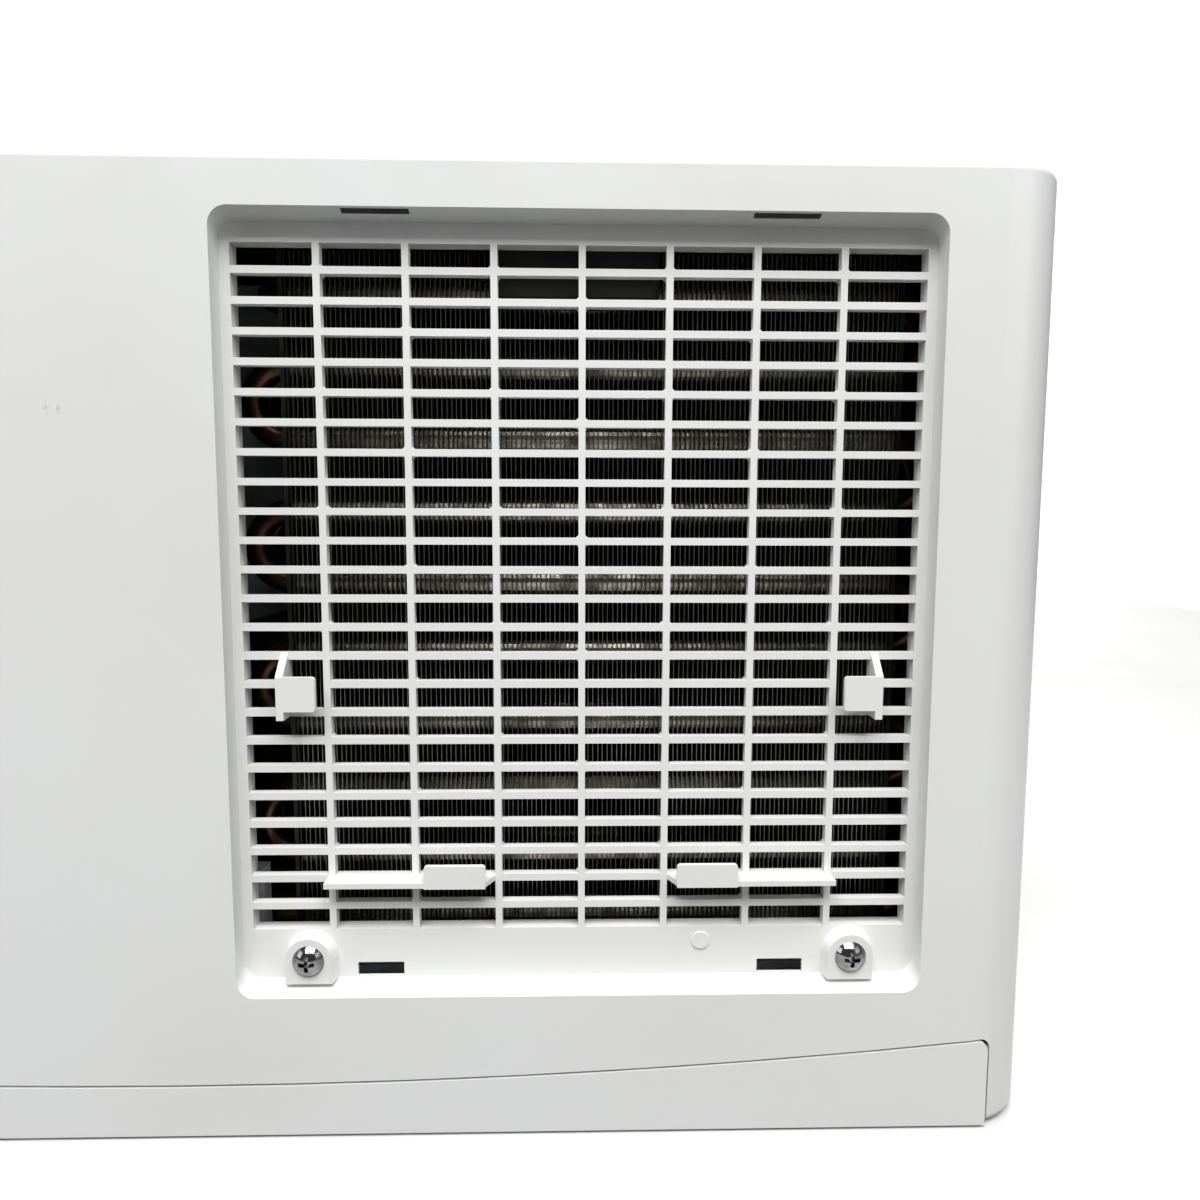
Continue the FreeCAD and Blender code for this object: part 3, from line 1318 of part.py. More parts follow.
# ---- write every piece -----------------------------------------------------------------------
pieces = {
    "front_panel": front_panel,
    "inlet_grille": inlet_grille,
    "grille_screws": grille_screws,
    "skirt": skirt,
    "cord_gland": cord_gland,
    "outlet_sleeve": outlet_sleeve,
    "louvre_link": louvre_link,
    "vane_link": vane_link,
    "control_fascia": control_fascia,
    "mode_knob": lambda: knob(mode_x),
    "thermostat_knob": lambda: knob(thermostat_x),
    "vent_knob": vent_knob,
    "vent_plunger": vent_plunger,
    "mode_switch": lambda: switch_body(mode_x, 34.0, 34.0, 22.0),
    "thermostat": lambda: switch_body(thermostat_x, 40.0, 38.0, 24.0),
    "thermostat_bulb": thermostat_bulb,
    "bulb_holder": bulb_holder,
    "control_box": control_box,
    "capacitor": capacitor,
    "evaporator_fins": evaporator_fins,
    "evaporator_tubes": evaporator_tubes,
    "evaporator_plates": evaporator_plates,
    "drain_tray": drain_tray,
    "coil_seal": coil_seal,
    "scroll_housing": scroll_housing,
    "blower_wheel": blower_wheel,
    "motor": motor,
    "motor_shaft": motor_shaft,
    "motor_bracket": motor_bracket,
    "condenser_fan": condenser_fan,
    "fan_shroud": fan_shroud,
    "bulkhead": bulkhead,
    "condenser_fins": condenser_fins,
    "condenser_tubes": condenser_tubes,
    "condenser_plates": condenser_plates,
    "compressor": compressor,
    "compressor_grommets": compressor_grommets,
    "compressor_bolts": compressor_bolts,
    "accumulator": accumulator,
    "suction_pipe": suction_pipe,
    "discharge_pipe": discharge_pipe,
    "filter_drier": filter_drier,
    "capillary": capillary,
    "base_pan": base_pan,
    "case_screws": case_screws,
    "feet": feet,
    "outer_case": outer_case,
    "rear_guard": rear_guard,
    "sash_angle": sash_angle_part,
}
for number in range(blades):
    pieces["louvre_%d" % (number + 1)] = lambda number=number: louvre_blade(number)
for number in range(vanes):
    pieces["vane_%d" % (number + 1)] = lambda number=number: vane(number)

os.makedirs("parts", exist_ok=True)
for name, build in pieces.items():
    shape = build()
    if not shape.isValid() or shape.Volume <= 0:
        print("check this piece:", name)
    shape.exportStep("parts/%s.step" % name)
    print(name, len(shape.Solids), round(shape.Volume, 1))
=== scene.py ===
import json
import math
import random

import bmesh
import bpy
from mathutils import Matrix, Vector


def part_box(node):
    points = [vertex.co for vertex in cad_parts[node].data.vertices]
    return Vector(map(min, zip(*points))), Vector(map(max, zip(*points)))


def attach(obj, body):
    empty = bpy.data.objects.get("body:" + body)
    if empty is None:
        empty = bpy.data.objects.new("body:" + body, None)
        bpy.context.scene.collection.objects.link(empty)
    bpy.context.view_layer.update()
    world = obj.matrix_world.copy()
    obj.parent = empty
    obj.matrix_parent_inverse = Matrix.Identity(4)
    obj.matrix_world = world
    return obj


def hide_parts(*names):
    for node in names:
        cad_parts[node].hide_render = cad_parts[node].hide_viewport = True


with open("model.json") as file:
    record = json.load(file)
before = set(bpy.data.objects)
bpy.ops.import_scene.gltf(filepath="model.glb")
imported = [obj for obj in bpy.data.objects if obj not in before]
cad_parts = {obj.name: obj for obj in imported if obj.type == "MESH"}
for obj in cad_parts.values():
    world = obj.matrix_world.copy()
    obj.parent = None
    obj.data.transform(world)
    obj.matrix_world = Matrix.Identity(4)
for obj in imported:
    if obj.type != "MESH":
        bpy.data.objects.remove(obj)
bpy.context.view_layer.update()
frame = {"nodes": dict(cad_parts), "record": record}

MM = 0.001
TUBE_PITCH = 21.0 * MM          # between the tube rows of either coil
COLLAR_RADIUS = 4.1 * MM
MODE_SWEEP = 120                # degrees to either side of upright
THERMOSTAT_SWEEP = 135
KNOB_WHITE = (0.74, 0.75, 0.74)
KNOB_AGED = (0.70, 0.70, 0.68)


def mm(*values):
    return Vector([value * MM for value in values])


# ---- camera ----------------------------------------------------------------------------------
def place_camera():
    """Close in front of the inlet, looking a little down and to the right."""
    place = mm(111.9, -414.2, 176.8)
    pitch = math.radians(5.515)
    yaw = math.radians(1.395)
    roll = math.radians(-0.194)
    level_right = Vector((math.cos(yaw), -math.sin(yaw), 0))
    level_ahead = Vector((math.sin(yaw), math.cos(yaw), 0))
    up = Vector((0, 0, 1))
    tipped_up = math.sin(pitch) * level_ahead + math.cos(pitch) * up
    ahead = math.cos(pitch) * level_ahead - math.sin(pitch) * up
    across = math.cos(roll) * level_right - math.sin(roll) * tipped_up
    upward = math.sin(roll) * level_right + math.cos(roll) * tipped_up
    data = bpy.data.cameras.new("camera")
    data.sensor_width = 36.0
    data.lens = 26.1
    data.clip_start = 0.005
    camera = bpy.data.objects.new("camera", data)
    bpy.context.scene.collection.objects.link(camera)
    turn = Matrix((across, upward, -ahead)).transposed().to_4x4()
    camera.matrix_world = Matrix.Translation(place) @ turn
    bpy.context.scene.camera = camera


place_camera()


# ---- finishes --------------------------------------------------------------------------------
class Finish:
    """A material's nodes, with short ways to add them."""

    def __init__(self, name):
        self.material = bpy.data.materials.new(name)
        self.material.use_nodes = True
        self.nodes = self.material.node_tree.nodes
        self.links = self.material.node_tree.links
        self.shader = self.nodes["Principled BSDF"]
        self.place = self.nodes.new("ShaderNodeTexCoord").outputs["Object"]

    def metallic(self, value):
        self.shader.inputs["Metallic"].default_value = value
        return self

    def scaled(self, size):
        node = self.nodes.new("ShaderNodeMapping")
        node.inputs["Scale"].default_value = size
        self.links.new(self.place, node.inputs["Vector"])
        return node.outputs["Vector"]

    def noise(self, scale, detail=3.0, rough=0.5, vector=None):
        node = self.nodes.new("ShaderNodeTexNoise")
        node.inputs["Scale"].default_value = scale
        node.inputs["Detail"].default_value = detail
        node.inputs["Roughness"].default_value = rough
        self.links.new(vector or self.place, node.inputs["Vector"])
        return node.outputs["Fac"]

    def cells(self, scale):
        node = self.nodes.new("ShaderNodeTexVoronoi")
        node.inputs["Scale"].default_value = scale
        self.links.new(self.place, node.inputs["Vector"])
        return node

    def span(self, value, low, high, out_low, out_high):
        node = self.nodes.new("ShaderNodeMapRange")
        node.inputs["From Min"].default_value = low
        node.inputs["From Max"].default_value = high
        node.inputs["To Min"].default_value = out_low
        node.inputs["To Max"].default_value = out_high
        self.links.new(value, node.inputs["Value"])
        return node.outputs["Result"]

    def times(self, a, b):
        node = self.nodes.new("ShaderNodeMath")
        node.operation = "MULTIPLY"
        self.links.new(a, node.inputs[0])
        self.links.new(b, node.inputs[1])
        return node.outputs["Value"]

    def near(self, point, inner, outer):
        """1 within the inner distance of a point in mm, 0 beyond the outer one."""
        node = self.nodes.new("ShaderNodeVectorMath")
        node.operation = "DISTANCE"
        self.links.new(self.place, node.inputs[0])
        node.inputs[1].default_value = mm(*point)
        return self.span(node.outputs["Value"], inner * MM, outer * MM, 1.0, 0.0)

    def sum_of(self, value, amount, absolute=False):
        """A value with an amount added, made positive if asked."""
        node = self.nodes.new("ShaderNodeMath")
        node.operation = "ADD"
        self.links.new(value, node.inputs[0])
        node.inputs[1].default_value = amount
        if not absolute:
            return node.outputs["Value"]
        size = self.nodes.new("ShaderNodeMath")
        size.operation = "ABSOLUTE"
        self.links.new(node.outputs["Value"], size.inputs[0])
        return size.outputs["Value"]

    def axes(self):
        """Distances along X, Y and Z, in metres."""
        node = self.nodes.new("ShaderNodeSeparateXYZ")
        self.links.new(self.place, node.inputs["Vector"])
        return node.outputs

    def blend(self, amount, a, b):
        node = self.nodes.new("ShaderNodeMix")
        node.data_type = "RGBA"
        for socket, value in (("A", a), ("B", b)):
            target = [s for s in node.inputs if s.name == socket and s.type == "RGBA"][0]
            if isinstance(value, tuple):
                target.default_value = (*value, 1.0)
            else:
                self.links.new(value, target)
        self.links.new(amount, node.inputs["Factor"])
        return [s for s in node.outputs if s.type == "RGBA"][0]

    def colour(self, value):
        if isinstance(value, tuple):
            self.shader.inputs["Base Color"].default_value = (*value, 1.0)
        else:
            self.links.new(value, self.shader.inputs["Base Color"])
        return self

    def roughness(self, value):
        self.links.new(value, self.shader.inputs["Roughness"])
        return self

    def bump(self, *layers):
        """Layers of (value, distance in mm), laid one on another."""
        normal = None
        for value, distance in layers:
            node = self.nodes.new("ShaderNodeBump")
            node.inputs["Strength"].default_value = 1.0
            node.inputs["Distance"].default_value = distance * MM
            self.links.new(value, node.inputs["Height"])
            if normal:
                self.links.new(normal, node.inputs["Normal"])
            normal = node.outputs["Normal"]
        self.links.new(normal, self.shader.inputs["Normal"])
        return self


def moulded_plastic(name, colour, aged, shine, grain, scuffs=0.5, dirt=(0.30, 0.29, 0.27),
                    scuffed_at=None):
    """Moulded plastic: faint mottling, satin skin, fine grain, slight waviness, a few scuffs."""
    f = Finish(name)
    mottle = f.span(f.noise(9.0, 4.0), 0.35, 0.7, 0.0, 1.0)
    base = f.blend(mottle, colour, aged)
    strokes = f.noise(38.0, 6.0, 0.62, f.scaled((1.0, 1.0, 2.3)))
    patches = f.span(f.noise(14.0, 2.0), 0.56, 0.72, 0.0, 1.0)
    marks = f.times(f.span(strokes, 0.66, 0.78, 0.0, 1.0), patches)
    specks = f.span(f.cells(420.0).outputs["Distance"], 0.0, 0.16, 1.0, 0.0)
    dust = f.times(specks, f.span(f.noise(60.0, 2.0), 0.60, 0.75, 0.0, 0.6))
    base = f.blend(f.span(marks, 0.0, 1.0, 0.0, scuffs * 0.35), base, dirt)
    base = f.blend(f.span(dust, 0.0, 1.0, 0.0, scuffs * 0.5), base, dirt)
    if scuffed_at:
        lines = f.noise(260.0, 5.0, 0.6, f.scaled((1.6, 1.0, 0.7)))
        scratch = f.span(lines, 0.54, 0.62, 0.0, 0.55)
        base = f.blend(f.times(scratch, f.near(scuffed_at, 1.2, 3.4)), base, dirt)
    f.colour(base)
    sheen = f.span(f.noise(55.0, 5.0, 0.6), 0.3, 0.7, shine - 0.05, shine + 0.07)
    f.roughness(sheen)
    layers = [(f.noise(18.0, 2.0), 0.12), (f.noise(900.0, 2.0), grain)]
    if scuffs > 0.2:    # lighter scuffs only mark the colour
        layers.append((marks, -0.01 * scuffs))
    f.bump(*layers)
    return f.material


def sheet_steel(name, colour, shadow, shine, grain):
    """Zinc-coated sheet: large soft spangles, fine rolling lines, dull stains."""
    f = Finish(name)
    spangle = f.cells(160.0)
    tone = f.span(spangle.outputs["Color"], 0.0, 1.0, 0.0, 1.0)
    base = f.blend(tone, colour, shadow)
    stains = f.span(f.noise(22.0, 5.0, 0.6), 0.52, 0.72, 0.0, 0.55)
    base = f.blend(stains, base, tuple(c * 0.72 for c in shadow))
    f.colour(base).metallic(0.9)
    rolling = f.noise(700.0, 2.0, 0.5, f.scaled((0.04, 1.0, 1.0)))
    f.roughness(f.span(spangle.outputs["Color"], 0.0, 1.0, shine - 0.08, shine + 0.1))
    f.bump((rolling, grain), (f.noise(26.0, 2.0), 0.15))
    return f.material


def baked_paint(name, colour, aged, shine, peel):
    """Paint on steel: orange peel, an uneven tone, fine rub marks."""
    f = Finish(name)
    base = f.blend(f.span(f.noise(7.0, 4.0), 0.35, 0.7, 0.0, 1.0), colour, aged)
    rubs = f.noise(46.0, 6.0, 0.62, f.scaled((1.0, 3.0, 1.0)))
    patches = f.span(f.noise(12.0, 2.0), 0.52, 0.7, 0.0, 1.0)
    worn = f.times(f.span(rubs, 0.61, 0.72, 0.0, 1.0), patches)
    base = f.blend(f.span(worn, 0.0, 1.0, 0.0, 0.35), base, tuple(0.5 * c for c in aged))
    f.colour(base)
    f.roughness(f.span(f.noise(60.0, 4.0), 0.3, 0.7, shine - 0.06, shine + 0.08))
    f.bump((f.noise(330.0, 2.0), peel), (f.noise(1400.0, 2.0), peel * 0.4), (worn, -0.01))
    return f.material


def copper(name):
    """Copper tube gone brown and painted darker as shade inside the coils, with brighter streaks
    along it.
    """
    f = Finish(name)
    tarnish = f.span(f.noise(70.0, 5.0, 0.65), 0.36, 0.66, 0.0, 1.0)
    # Real tarnish runs between the brown and the near-black copper. Both colours are also darker
    # than tarnish alone, as painted shade inside the coils.
    base = f.blend(tarnish, (0.13, 0.07, 0.042), (0.05, 0.032, 0.023))
    spots = f.span(f.noise(320.0, 3.0), 0.60, 0.75, 0.0, 0.7)
    base = f.blend(spots, base, (0.08, 0.055, 0.035))
    f.colour(base).metallic(0.9)
    f.roughness(f.span(tarnish, 0.0, 1.0, 0.28, 0.55))
    f.bump((f.noise(600.0, 2.0), 0.015), (f.noise(110.0, 2.0), 0.05))
    return f.material


def shade_darkened_fin(name):
    """Thin aluminium with a pale coating, painted dark grey as shade inside the coil, with dust
    caught on it and small dents.
    """
    f = Finish(name)
    dust = f.span(f.noise(34.0, 5.0, 0.6), 0.40, 0.68, 0.0, 1.0)
    # The fins' colours are far darker than aluminium: painted shade for the inside of the coil. The
    # dust patches darken them further.
    base = f.blend(dust, (0.24, 0.24, 0.23), (0.12, 0.115, 0.10))
    f.colour(base).metallic(0.85)
    f.roughness(f.span(dust, 0.0, 1.0, 0.34, 0.60))
    f.bump((f.noise(240.0, 3.0), 0.04), (f.noise(1500.0, 2.0), 0.008))
    return f.material


def bright_metal(name, colour, dull, shine):
    """Plated steel: small tool marks and dulled patches."""
    f = Finish(name)
    patches = f.span(f.noise(190.0, 4.0), 0.4, 0.68, 0.0, 1.0)
    f.colour(f.blend(patches, colour, dull)).metallic(1.0)
    f.roughness(f.span(patches, 0.0, 1.0, shine, shine + 0.2))
    f.bump((f.noise(1300.0, 3.0), 0.006), (f.noise(260.0, 2.0), 0.02))
    return f.material


def rubber(name, colour):
    f = Finish(name)
    bloom = f.span(f.noise(80.0, 5.0), 0.45, 0.7, 0.0, 0.6)
    f.colour(f.blend(bloom, colour, (0.09, 0.09, 0.09)))
    f.roughness(f.span(f.noise(160.0, 3.0), 0.3, 0.7, 0.62, 0.85))
    f.bump((f.noise(900.0, 3.0), 0.03), (f.noise(150.0, 2.0), 0.05))
    return f.material


def foam(name, colour, shadow):
    """Closed-cell foam with its beads just showing."""
    f = Finish(name)
    beads = f.cells(300.0)
    rim = f.span(beads.outputs["Distance"], 0.0, 0.6, 0.0, 1.0)
    f.colour(f.blend(f.span(f.noise(25.0, 4.0), 0.35, 0.7, 0.0, 1.0), colour, shadow))
    f.roughness(f.span(f.noise(90.0, 3.0), 0.3, 0.7, 0.7, 0.9))
    f.bump((rim, -0.12), (f.noise(900.0, 2.0), 0.03))
    return f.material


# White mouldings have a shine of 0.34 or more. At 0.30 the sheen fell to 0.25 and showed as flecks.
FINISHES = {
    "panel_plastic": moulded_plastic(
        "panel white", (0.80, 0.81, 0.80), (0.77, 0.775, 0.755), shine=0.34, grain=0.012,
        scuffs=0.0, scuffed_at=(-26.0, -180.0, 203.7)),
    "grille_plastic": moulded_plastic(
        "grille white", (0.83, 0.84, 0.82), (0.79, 0.79, 0.765), shine=0.36, grain=0.012,
        scuffs=0.04),
    "louvre_plastic": moulded_plastic(
        "louvre white", (0.76, 0.77, 0.76), (0.72, 0.725, 0.70), shine=0.38, grain=0.014,
        scuffs=0.8),
    "control_plastic": moulded_plastic(
        "control grey", (0.42, 0.43, 0.43), (0.38, 0.385, 0.38), shine=0.45, grain=0.035,
        scuffs=0.8),
    "knob_plastic": moulded_plastic(
        "knob white", KNOB_WHITE, KNOB_AGED, shine=0.34, grain=0.01, scuffs=0.7),
    "black_plastic": moulded_plastic(
        "black plastic", (0.006, 0.006, 0.006), (0.010, 0.010, 0.010), shine=0.60, grain=0.03,
        scuffs=0.3, dirt=(0.05, 0.05, 0.05)),
    "black_rubber": rubber("black rubber", (0.02, 0.02, 0.021)),
    "zinc_steel": bright_metal("zinc plate", (0.34, 0.34, 0.35), (0.18, 0.18, 0.18), shine=0.06),
    "galvanised_steel": sheet_steel(
        "galvanised sheet", (0.50, 0.51, 0.52), (0.36, 0.37, 0.38), shine=0.42, grain=0.02),
    # The coil plates are the same zinc-coated sheet as the galvanised steel, coloured near black as
    # painted shade for the inside of the coils.
    "coil_plate_steel": sheet_steel(
        "coil plate", (0.07, 0.068, 0.066), (0.045, 0.044, 0.042), shine=0.48, grain=0.02),
    # The fin finish is painted dark as shade inside the coils.
    "coil_aluminium": shade_darkened_fin("coil aluminium"),
    "copper_tube": copper("copper tube"),
    "tray_plastic": moulded_plastic(
        "tray plastic", (0.50, 0.53, 0.56), (0.45, 0.47, 0.49), shine=0.5, grain=0.03, scuffs=0.8),
    "insulation_foam": foam("insulation foam", (0.66, 0.69, 0.73), (0.56, 0.58, 0.61)),
    "case_paint": baked_paint(
        "case paint", (0.60, 0.585, 0.53), (0.55, 0.535, 0.48), shine=0.40, peel=0.03),
    "motor_paint": baked_paint(
        "motor paint", (0.04, 0.042, 0.046), (0.065, 0.063, 0.06), shine=0.45, peel=0.04),
    "compressor_paint": baked_paint(
        "compressor paint", (0.012, 0.012, 0.013), (0.025, 0.024, 0.023), shine=0.25, peel=0.05),
}
# The collars are the fins' aluminium, coloured much lighter than the fins: painted highlight for
# glints along the tube rows.
COLLAR_GLINT_METAL = bright_metal("collar glint metal", (0.46, 0.44, 0.38), (0.25, 0.235, 0.20), shine=0.26)


def give_cad_nodes_their_finish():
    slots = {part["node"]: part["material_slot"] for part in frame["record"]["subparts"]}
    for name, node in frame["nodes"].items():
        finish = FINISHES[slots[name]]
        if not node.material_slots:
            node.data.materials.append(finish)
        for place in node.material_slots:
            place.material = finish


give_cad_nodes_their_finish()


def knob_finish(node):
    """Knob plastic with a dark pointer line down one half of the finger bar."""
    half_width = 0.9 * MM
    reach = 5.0 * MM            # from the knob's middle to the line's start
    edge = 0.15 * MM            # over which the line's paint fades out
    low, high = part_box(node)
    middle_x, middle_z = (low[0] + high[0]) / 2, (low[2] + high[2]) / 2
    f = Finish(node.replace("_", " ") + " plastic")
    axes = f.axes()
    across = f.sum_of(axes["X"], -middle_x, absolute=True)
    above = f.sum_of(axes["Z"], -middle_z)
    line = f.times(f.span(across, half_width, half_width + edge, 1.0, 0.0),
                   f.span(above, reach - edge, reach, 0.0, 1.0))
    outer = f.span(axes["Y"], low[1] + 2.5 * MM, low[1] + 2.8 * MM, 1.0, 0.0)
    mottle = f.span(f.noise(9.0, 4.0), 0.35, 0.7, 0.0, 1.0)
    base = f.blend(mottle, KNOB_WHITE, KNOB_AGED)
    f.colour(f.blend(f.times(line, outer), base, (0.03, 0.035, 0.04)))
    f.roughness(f.span(f.noise(55.0, 5.0, 0.6), 0.3, 0.7, 0.29, 0.38))
    f.bump((f.noise(900.0, 2.0), 0.01))
    for slot in frame["nodes"][node].material_slots:
        slot.material = f.material


knob_finish("mode_knob")
knob_finish("thermostat_knob")


# ---- pieces ----------------------------------------------------------------------------------
def finished(bm, name, slot, body="housing", finish=None):
    """A new object from a bmesh, with its faces turned outwards and its finish on it."""
    bmesh.ops.recalc_face_normals(bm, faces=bm.faces)
    mesh = bpy.data.meshes.new(name)
    bm.to_mesh(mesh)
    bm.free()
    piece = bpy.data.objects.new(name, mesh)
    bpy.context.scene.collection.objects.link(piece)
    mesh.materials.append(finish or FINISHES[slot])
    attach(piece, body)
    return piece


def fin_pack(node, name, pitch, thickness, steps, waver, bent):
    """Thin upright fins across a coil, each a thin wavering sheet, a few of them bent over.

    Each bend is where it is along X, how high it is, and how far it pushes the front edges.
    """
    most_lean = 0.42 * pitch    # keeps neighbours apart
    back_share = 0.25           # of the front edge's waver
    spread_x = pitch * 2.2
    spread_z = 6.0 * MM
    low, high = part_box(node)
    middle_y, deep, tall = (low[1] + high[1]) / 2, high[1] - low[1], high[2] - low[2]
    leftmost, rightmost = low[0] + thickness / 2, high[0] - thickness / 2
    count = int((high[0] - low[0]) / pitch)
    spacing = (high[0] - low[0] - thickness) / (count - 1)
    chance = random.Random(11)
    bm = bmesh.new()
    for index in range(count):
        x = leftmost + spacing * index
        made = bmesh.ops.create_grid(bm, x_segments=1, y_segments=steps, size=0.5)["verts"]
        for axis in "ZY":
            bmesh.ops.rotate(bm, verts=made, cent=(0, 0, 0),
                             matrix=Matrix.Rotation(math.pi / 2, 3, axis))
        phase = chance.uniform(0, 6.3)
        slope = chance.uniform(-1, 1)
        for vert in made:
            along = vert.co.z + 0.5
            front_edge = vert.co.y < 0
            lean = waver * math.sin(along * 9.0 + phase)
            lean += waver * 0.6 * slope * math.sin(along * 31.0)
            lean *= 1.0 if front_edge else back_share
            for bent_at, bent_height, bent_by in bent:
                near = math.exp(-((x - bent_at) / spread_x) ** 2
                                - ((low[2] + along * tall - bent_height) / spread_z) ** 2)
                lean += bent_by * near * (1.0 if front_edge else 0.0)
            lean = max(-most_lean, min(most_lean, lean))
            place = min(max(x + lean, leftmost), rightmost)
            vert.co = Vector((place, middle_y + vert.co.y * deep, low[2] + along * tall))
    piece = finished(bm, name, "coil_aluminium")
    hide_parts(node)
    thick = piece.modifiers.new("sheet", "SOLIDIFY")
    thick.thickness = thickness
    thick.offset = 0.0
    return piece


def coil_fins():
    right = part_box("inlet_grille")[1][0]
    fin_pack("evaporator_fins", "cooling_fins", pitch=1.4 * MM, thickness=0.24 * MM, steps=20,
             waver=0.10 * MM, bent=((right - 14 * MM, 170 * MM, 0.55 * MM),
                                    (right - 20 * MM, 166 * MM, -0.5 * MM),
                                    (right - 9 * MM, 176 * MM, 0.5 * MM)))
    fin_pack("condenser_fins", "heat_fins", pitch=2.0 * MM, thickness=0.18 * MM, steps=12,
             waver=0.08 * MM, bent=((90 * MM, 120 * MM, 0.7 * MM),
                                    (-120 * MM, 200 * MM, -0.7 * MM)))


def tube_collars(node, name):
    """The fins' collars, which sleeve each tube between one fin and the next."""
    low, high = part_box(node)
    rows = round((high[2] - low[2]) / TUBE_PITCH)
    depth = (high[1] - low[1]) / 2
    length = high[0] - low[0] - 0.4 * MM    # ends just inside the fins
    bm = bmesh.new()
    for row in range(rows):
        for line in range(2):
            made = bmesh.ops.create_cone(bm, cap_ends=False, segments=20, radius1=COLLAR_RADIUS,
                                         radius2=COLLAR_RADIUS, depth=length)["verts"]
            bmesh.ops.rotate(bm, verts=made, cent=(0, 0, 0),
                             matrix=Matrix.Rotation(math.pi / 2, 3, "Y"))
            bmesh.ops.translate(bm, verts=made, vec=((low[0] + high[0]) / 2,
                                                     low[1] + depth * (line + 0.5),
                                                     high[2] - TUBE_PITCH * (row + 0.5)))
    # The collars take the lighter collar finish, a painted highlight.
    return finished(bm, name, "coil_aluminium", finish=COLLAR_GLINT_METAL)


def coil_collars():
    tube_collars("evaporator_fins", "cooling_collars")
    tube_collars("condenser_fins", "heat_collars")


def screw_boxes(node):
    """The lowest and highest corner of each screw in a node that holds several."""
    source = bmesh.new()
    source.from_mesh(frame["nodes"][node].data)
    bmesh.ops.remove_doubles(source, verts=source.verts, dist=0.001 * MM)
    groups = {}
    for vert in source.verts:
        key = (vert.co.x > 0, round(vert.co.y / (20 * MM)))
        groups.setdefault(key, []).append(vert.co.copy())
    source.free()
    for key in sorted(groups):
        yield ([min(place[axis] for place in groups[key]) for axis in range(3)],
               [max(place[axis] for place in groups[key]) for axis in range(3)])


def edges_of(verts):
    return list({edge for vert in verts for edge in vert.link_edges})


def cross_loop(bm, arm, arm_width, level):
    """A closed loop of twelve edges in the shape of a cross."""
    made = bmesh.ops.create_circle(bm, segments=12, radius=arm)["verts"]
    half = arm_width / 2
    quarter = [(arm, -half), (arm, half), (half, half)]
    outline = []
    for x, y in quarter:
        outline += [(x, y), (-y, x), (-x, -y), (y, -x)]
    outline.sort(key=lambda place: math.atan2(place[1], place[0]) % (2 * math.pi))
    made.sort(key=lambda vert: math.atan2(vert.co.y, vert.co.x) % (2 * math.pi))
    for vert, place in zip(made, outline):
        vert.co = Vector((*place, level))
    return made


def cross_head_screw(bm):
    """One domed screw, pointing down, with a cross cut into its head."""
    head_radius, head_height = 4.0 * MM, 1.5 * MM
    shank_radius, shank_length = 1.9 * MM, 7.8 * MM
    arm, arm_width, deep = 1.9 * MM, 0.75 * MM, 0.9 * MM
    profile = ((head_radius * 0.62, head_height * 0.97), (head_radius * 0.86, head_height * 0.62),
               (head_radius, 0.0), (shank_radius, 0.0), (shank_radius, -shank_length))
    made = []
    loops = []
    for radius, level in profile:
        ring = bmesh.ops.create_circle(bm, segments=24, radius=radius)["verts"]
        bmesh.ops.translate(bm, verts=ring, vec=(0, 0, level))
        loops.append(edges_of(ring))
        made += ring
    cross = cross_loop(bm, arm, arm_width, head_height)
    rim = edges_of(cross)
    made += cross
    for first, second in zip([rim] + loops, loops):
        bmesh.ops.bridge_loops(bm, edges=first + second)
    well = bmesh.ops.extrude_edge_only(bm, edges=rim)["geom"]
    floor_verts = [item for item in well if isinstance(item, bmesh.types.BMVert)]
    bmesh.ops.translate(bm, verts=floor_verts, vec=(0, 0, -deep))
    floor_edges = [item for item in well if isinstance(item, bmesh.types.BMEdge)
                   and all(vert in floor_verts for vert in item.verts)]
    bmesh.ops.contextual_create(bm, geom=floor_edges)
    bmesh.ops.contextual_create(bm, geom=loops[-1])
    return made + floor_verts, head_height


def side_screws():
    """Screws along both sides of the case, each with its head outwards."""
    bm = bmesh.new()
    for low, high in screw_boxes("case_screws"):
        made, head_height = cross_head_screw(bm)
        side = 1 if low[0] > 0 else -1
        outer = high[0] if side > 0 else low[0]
        bmesh.ops.rotate(bm, verts=made, cent=(0, 0, 0),
                         matrix=Matrix.Rotation(math.pi / 2 * side, 3, "Y"))
        bmesh.ops.translate(bm, verts=made, vec=(outer - side * head_height,
                                                 (low[1] + high[1]) / 2, (low[2] + high[2]) / 2))
    piece = finished(bm, "case_side_screws", "zinc_steel")
    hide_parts("case_screws")
    return piece


def hook_catches():
    """Black catches inside the two slots in the recess's ceiling."""
    from_middle = 53.94 * MM
    behind_face = 2.0 * MM
    ceiling_below_top = 13.85 * MM      # at the panel's face
    ceiling_slope = 0.308               # it drops towards the back
    middle_above_ceiling = 1.45 * MM
    grille_low, grille_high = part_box("inlet_grille")
    panel_low, panel_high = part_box("front_panel")
    middle_x = (grille_low[0] + grille_high[0]) / 2
    face, ceiling = panel_low[1], panel_high[2] - ceiling_below_top
    middle_z = ceiling + middle_above_ceiling
    bm = bmesh.new()
    for side in (-1, 1):
        made = bmesh.ops.create_cube(bm, size=1.0)["verts"]
        bmesh.ops.scale(bm, verts=made, vec=(17.6 * MM, 2.1 * MM, 2.4 * MM))
        bmesh.ops.translate(bm, verts=made,
                            vec=(middle_x + side * from_middle, face + behind_face, middle_z))
        for vert in made:
            if vert.co.z < middle_z:
                vert.co.z = ceiling - (vert.co.y - face) * ceiling_slope
        bmesh.ops.bevel(bm, geom=edges_of(made), offset=0.15 * MM, affect="EDGES", segments=2,
                        profile=0.5, material=-1)
    return finished(bm, "hook_catches", "black_plastic")


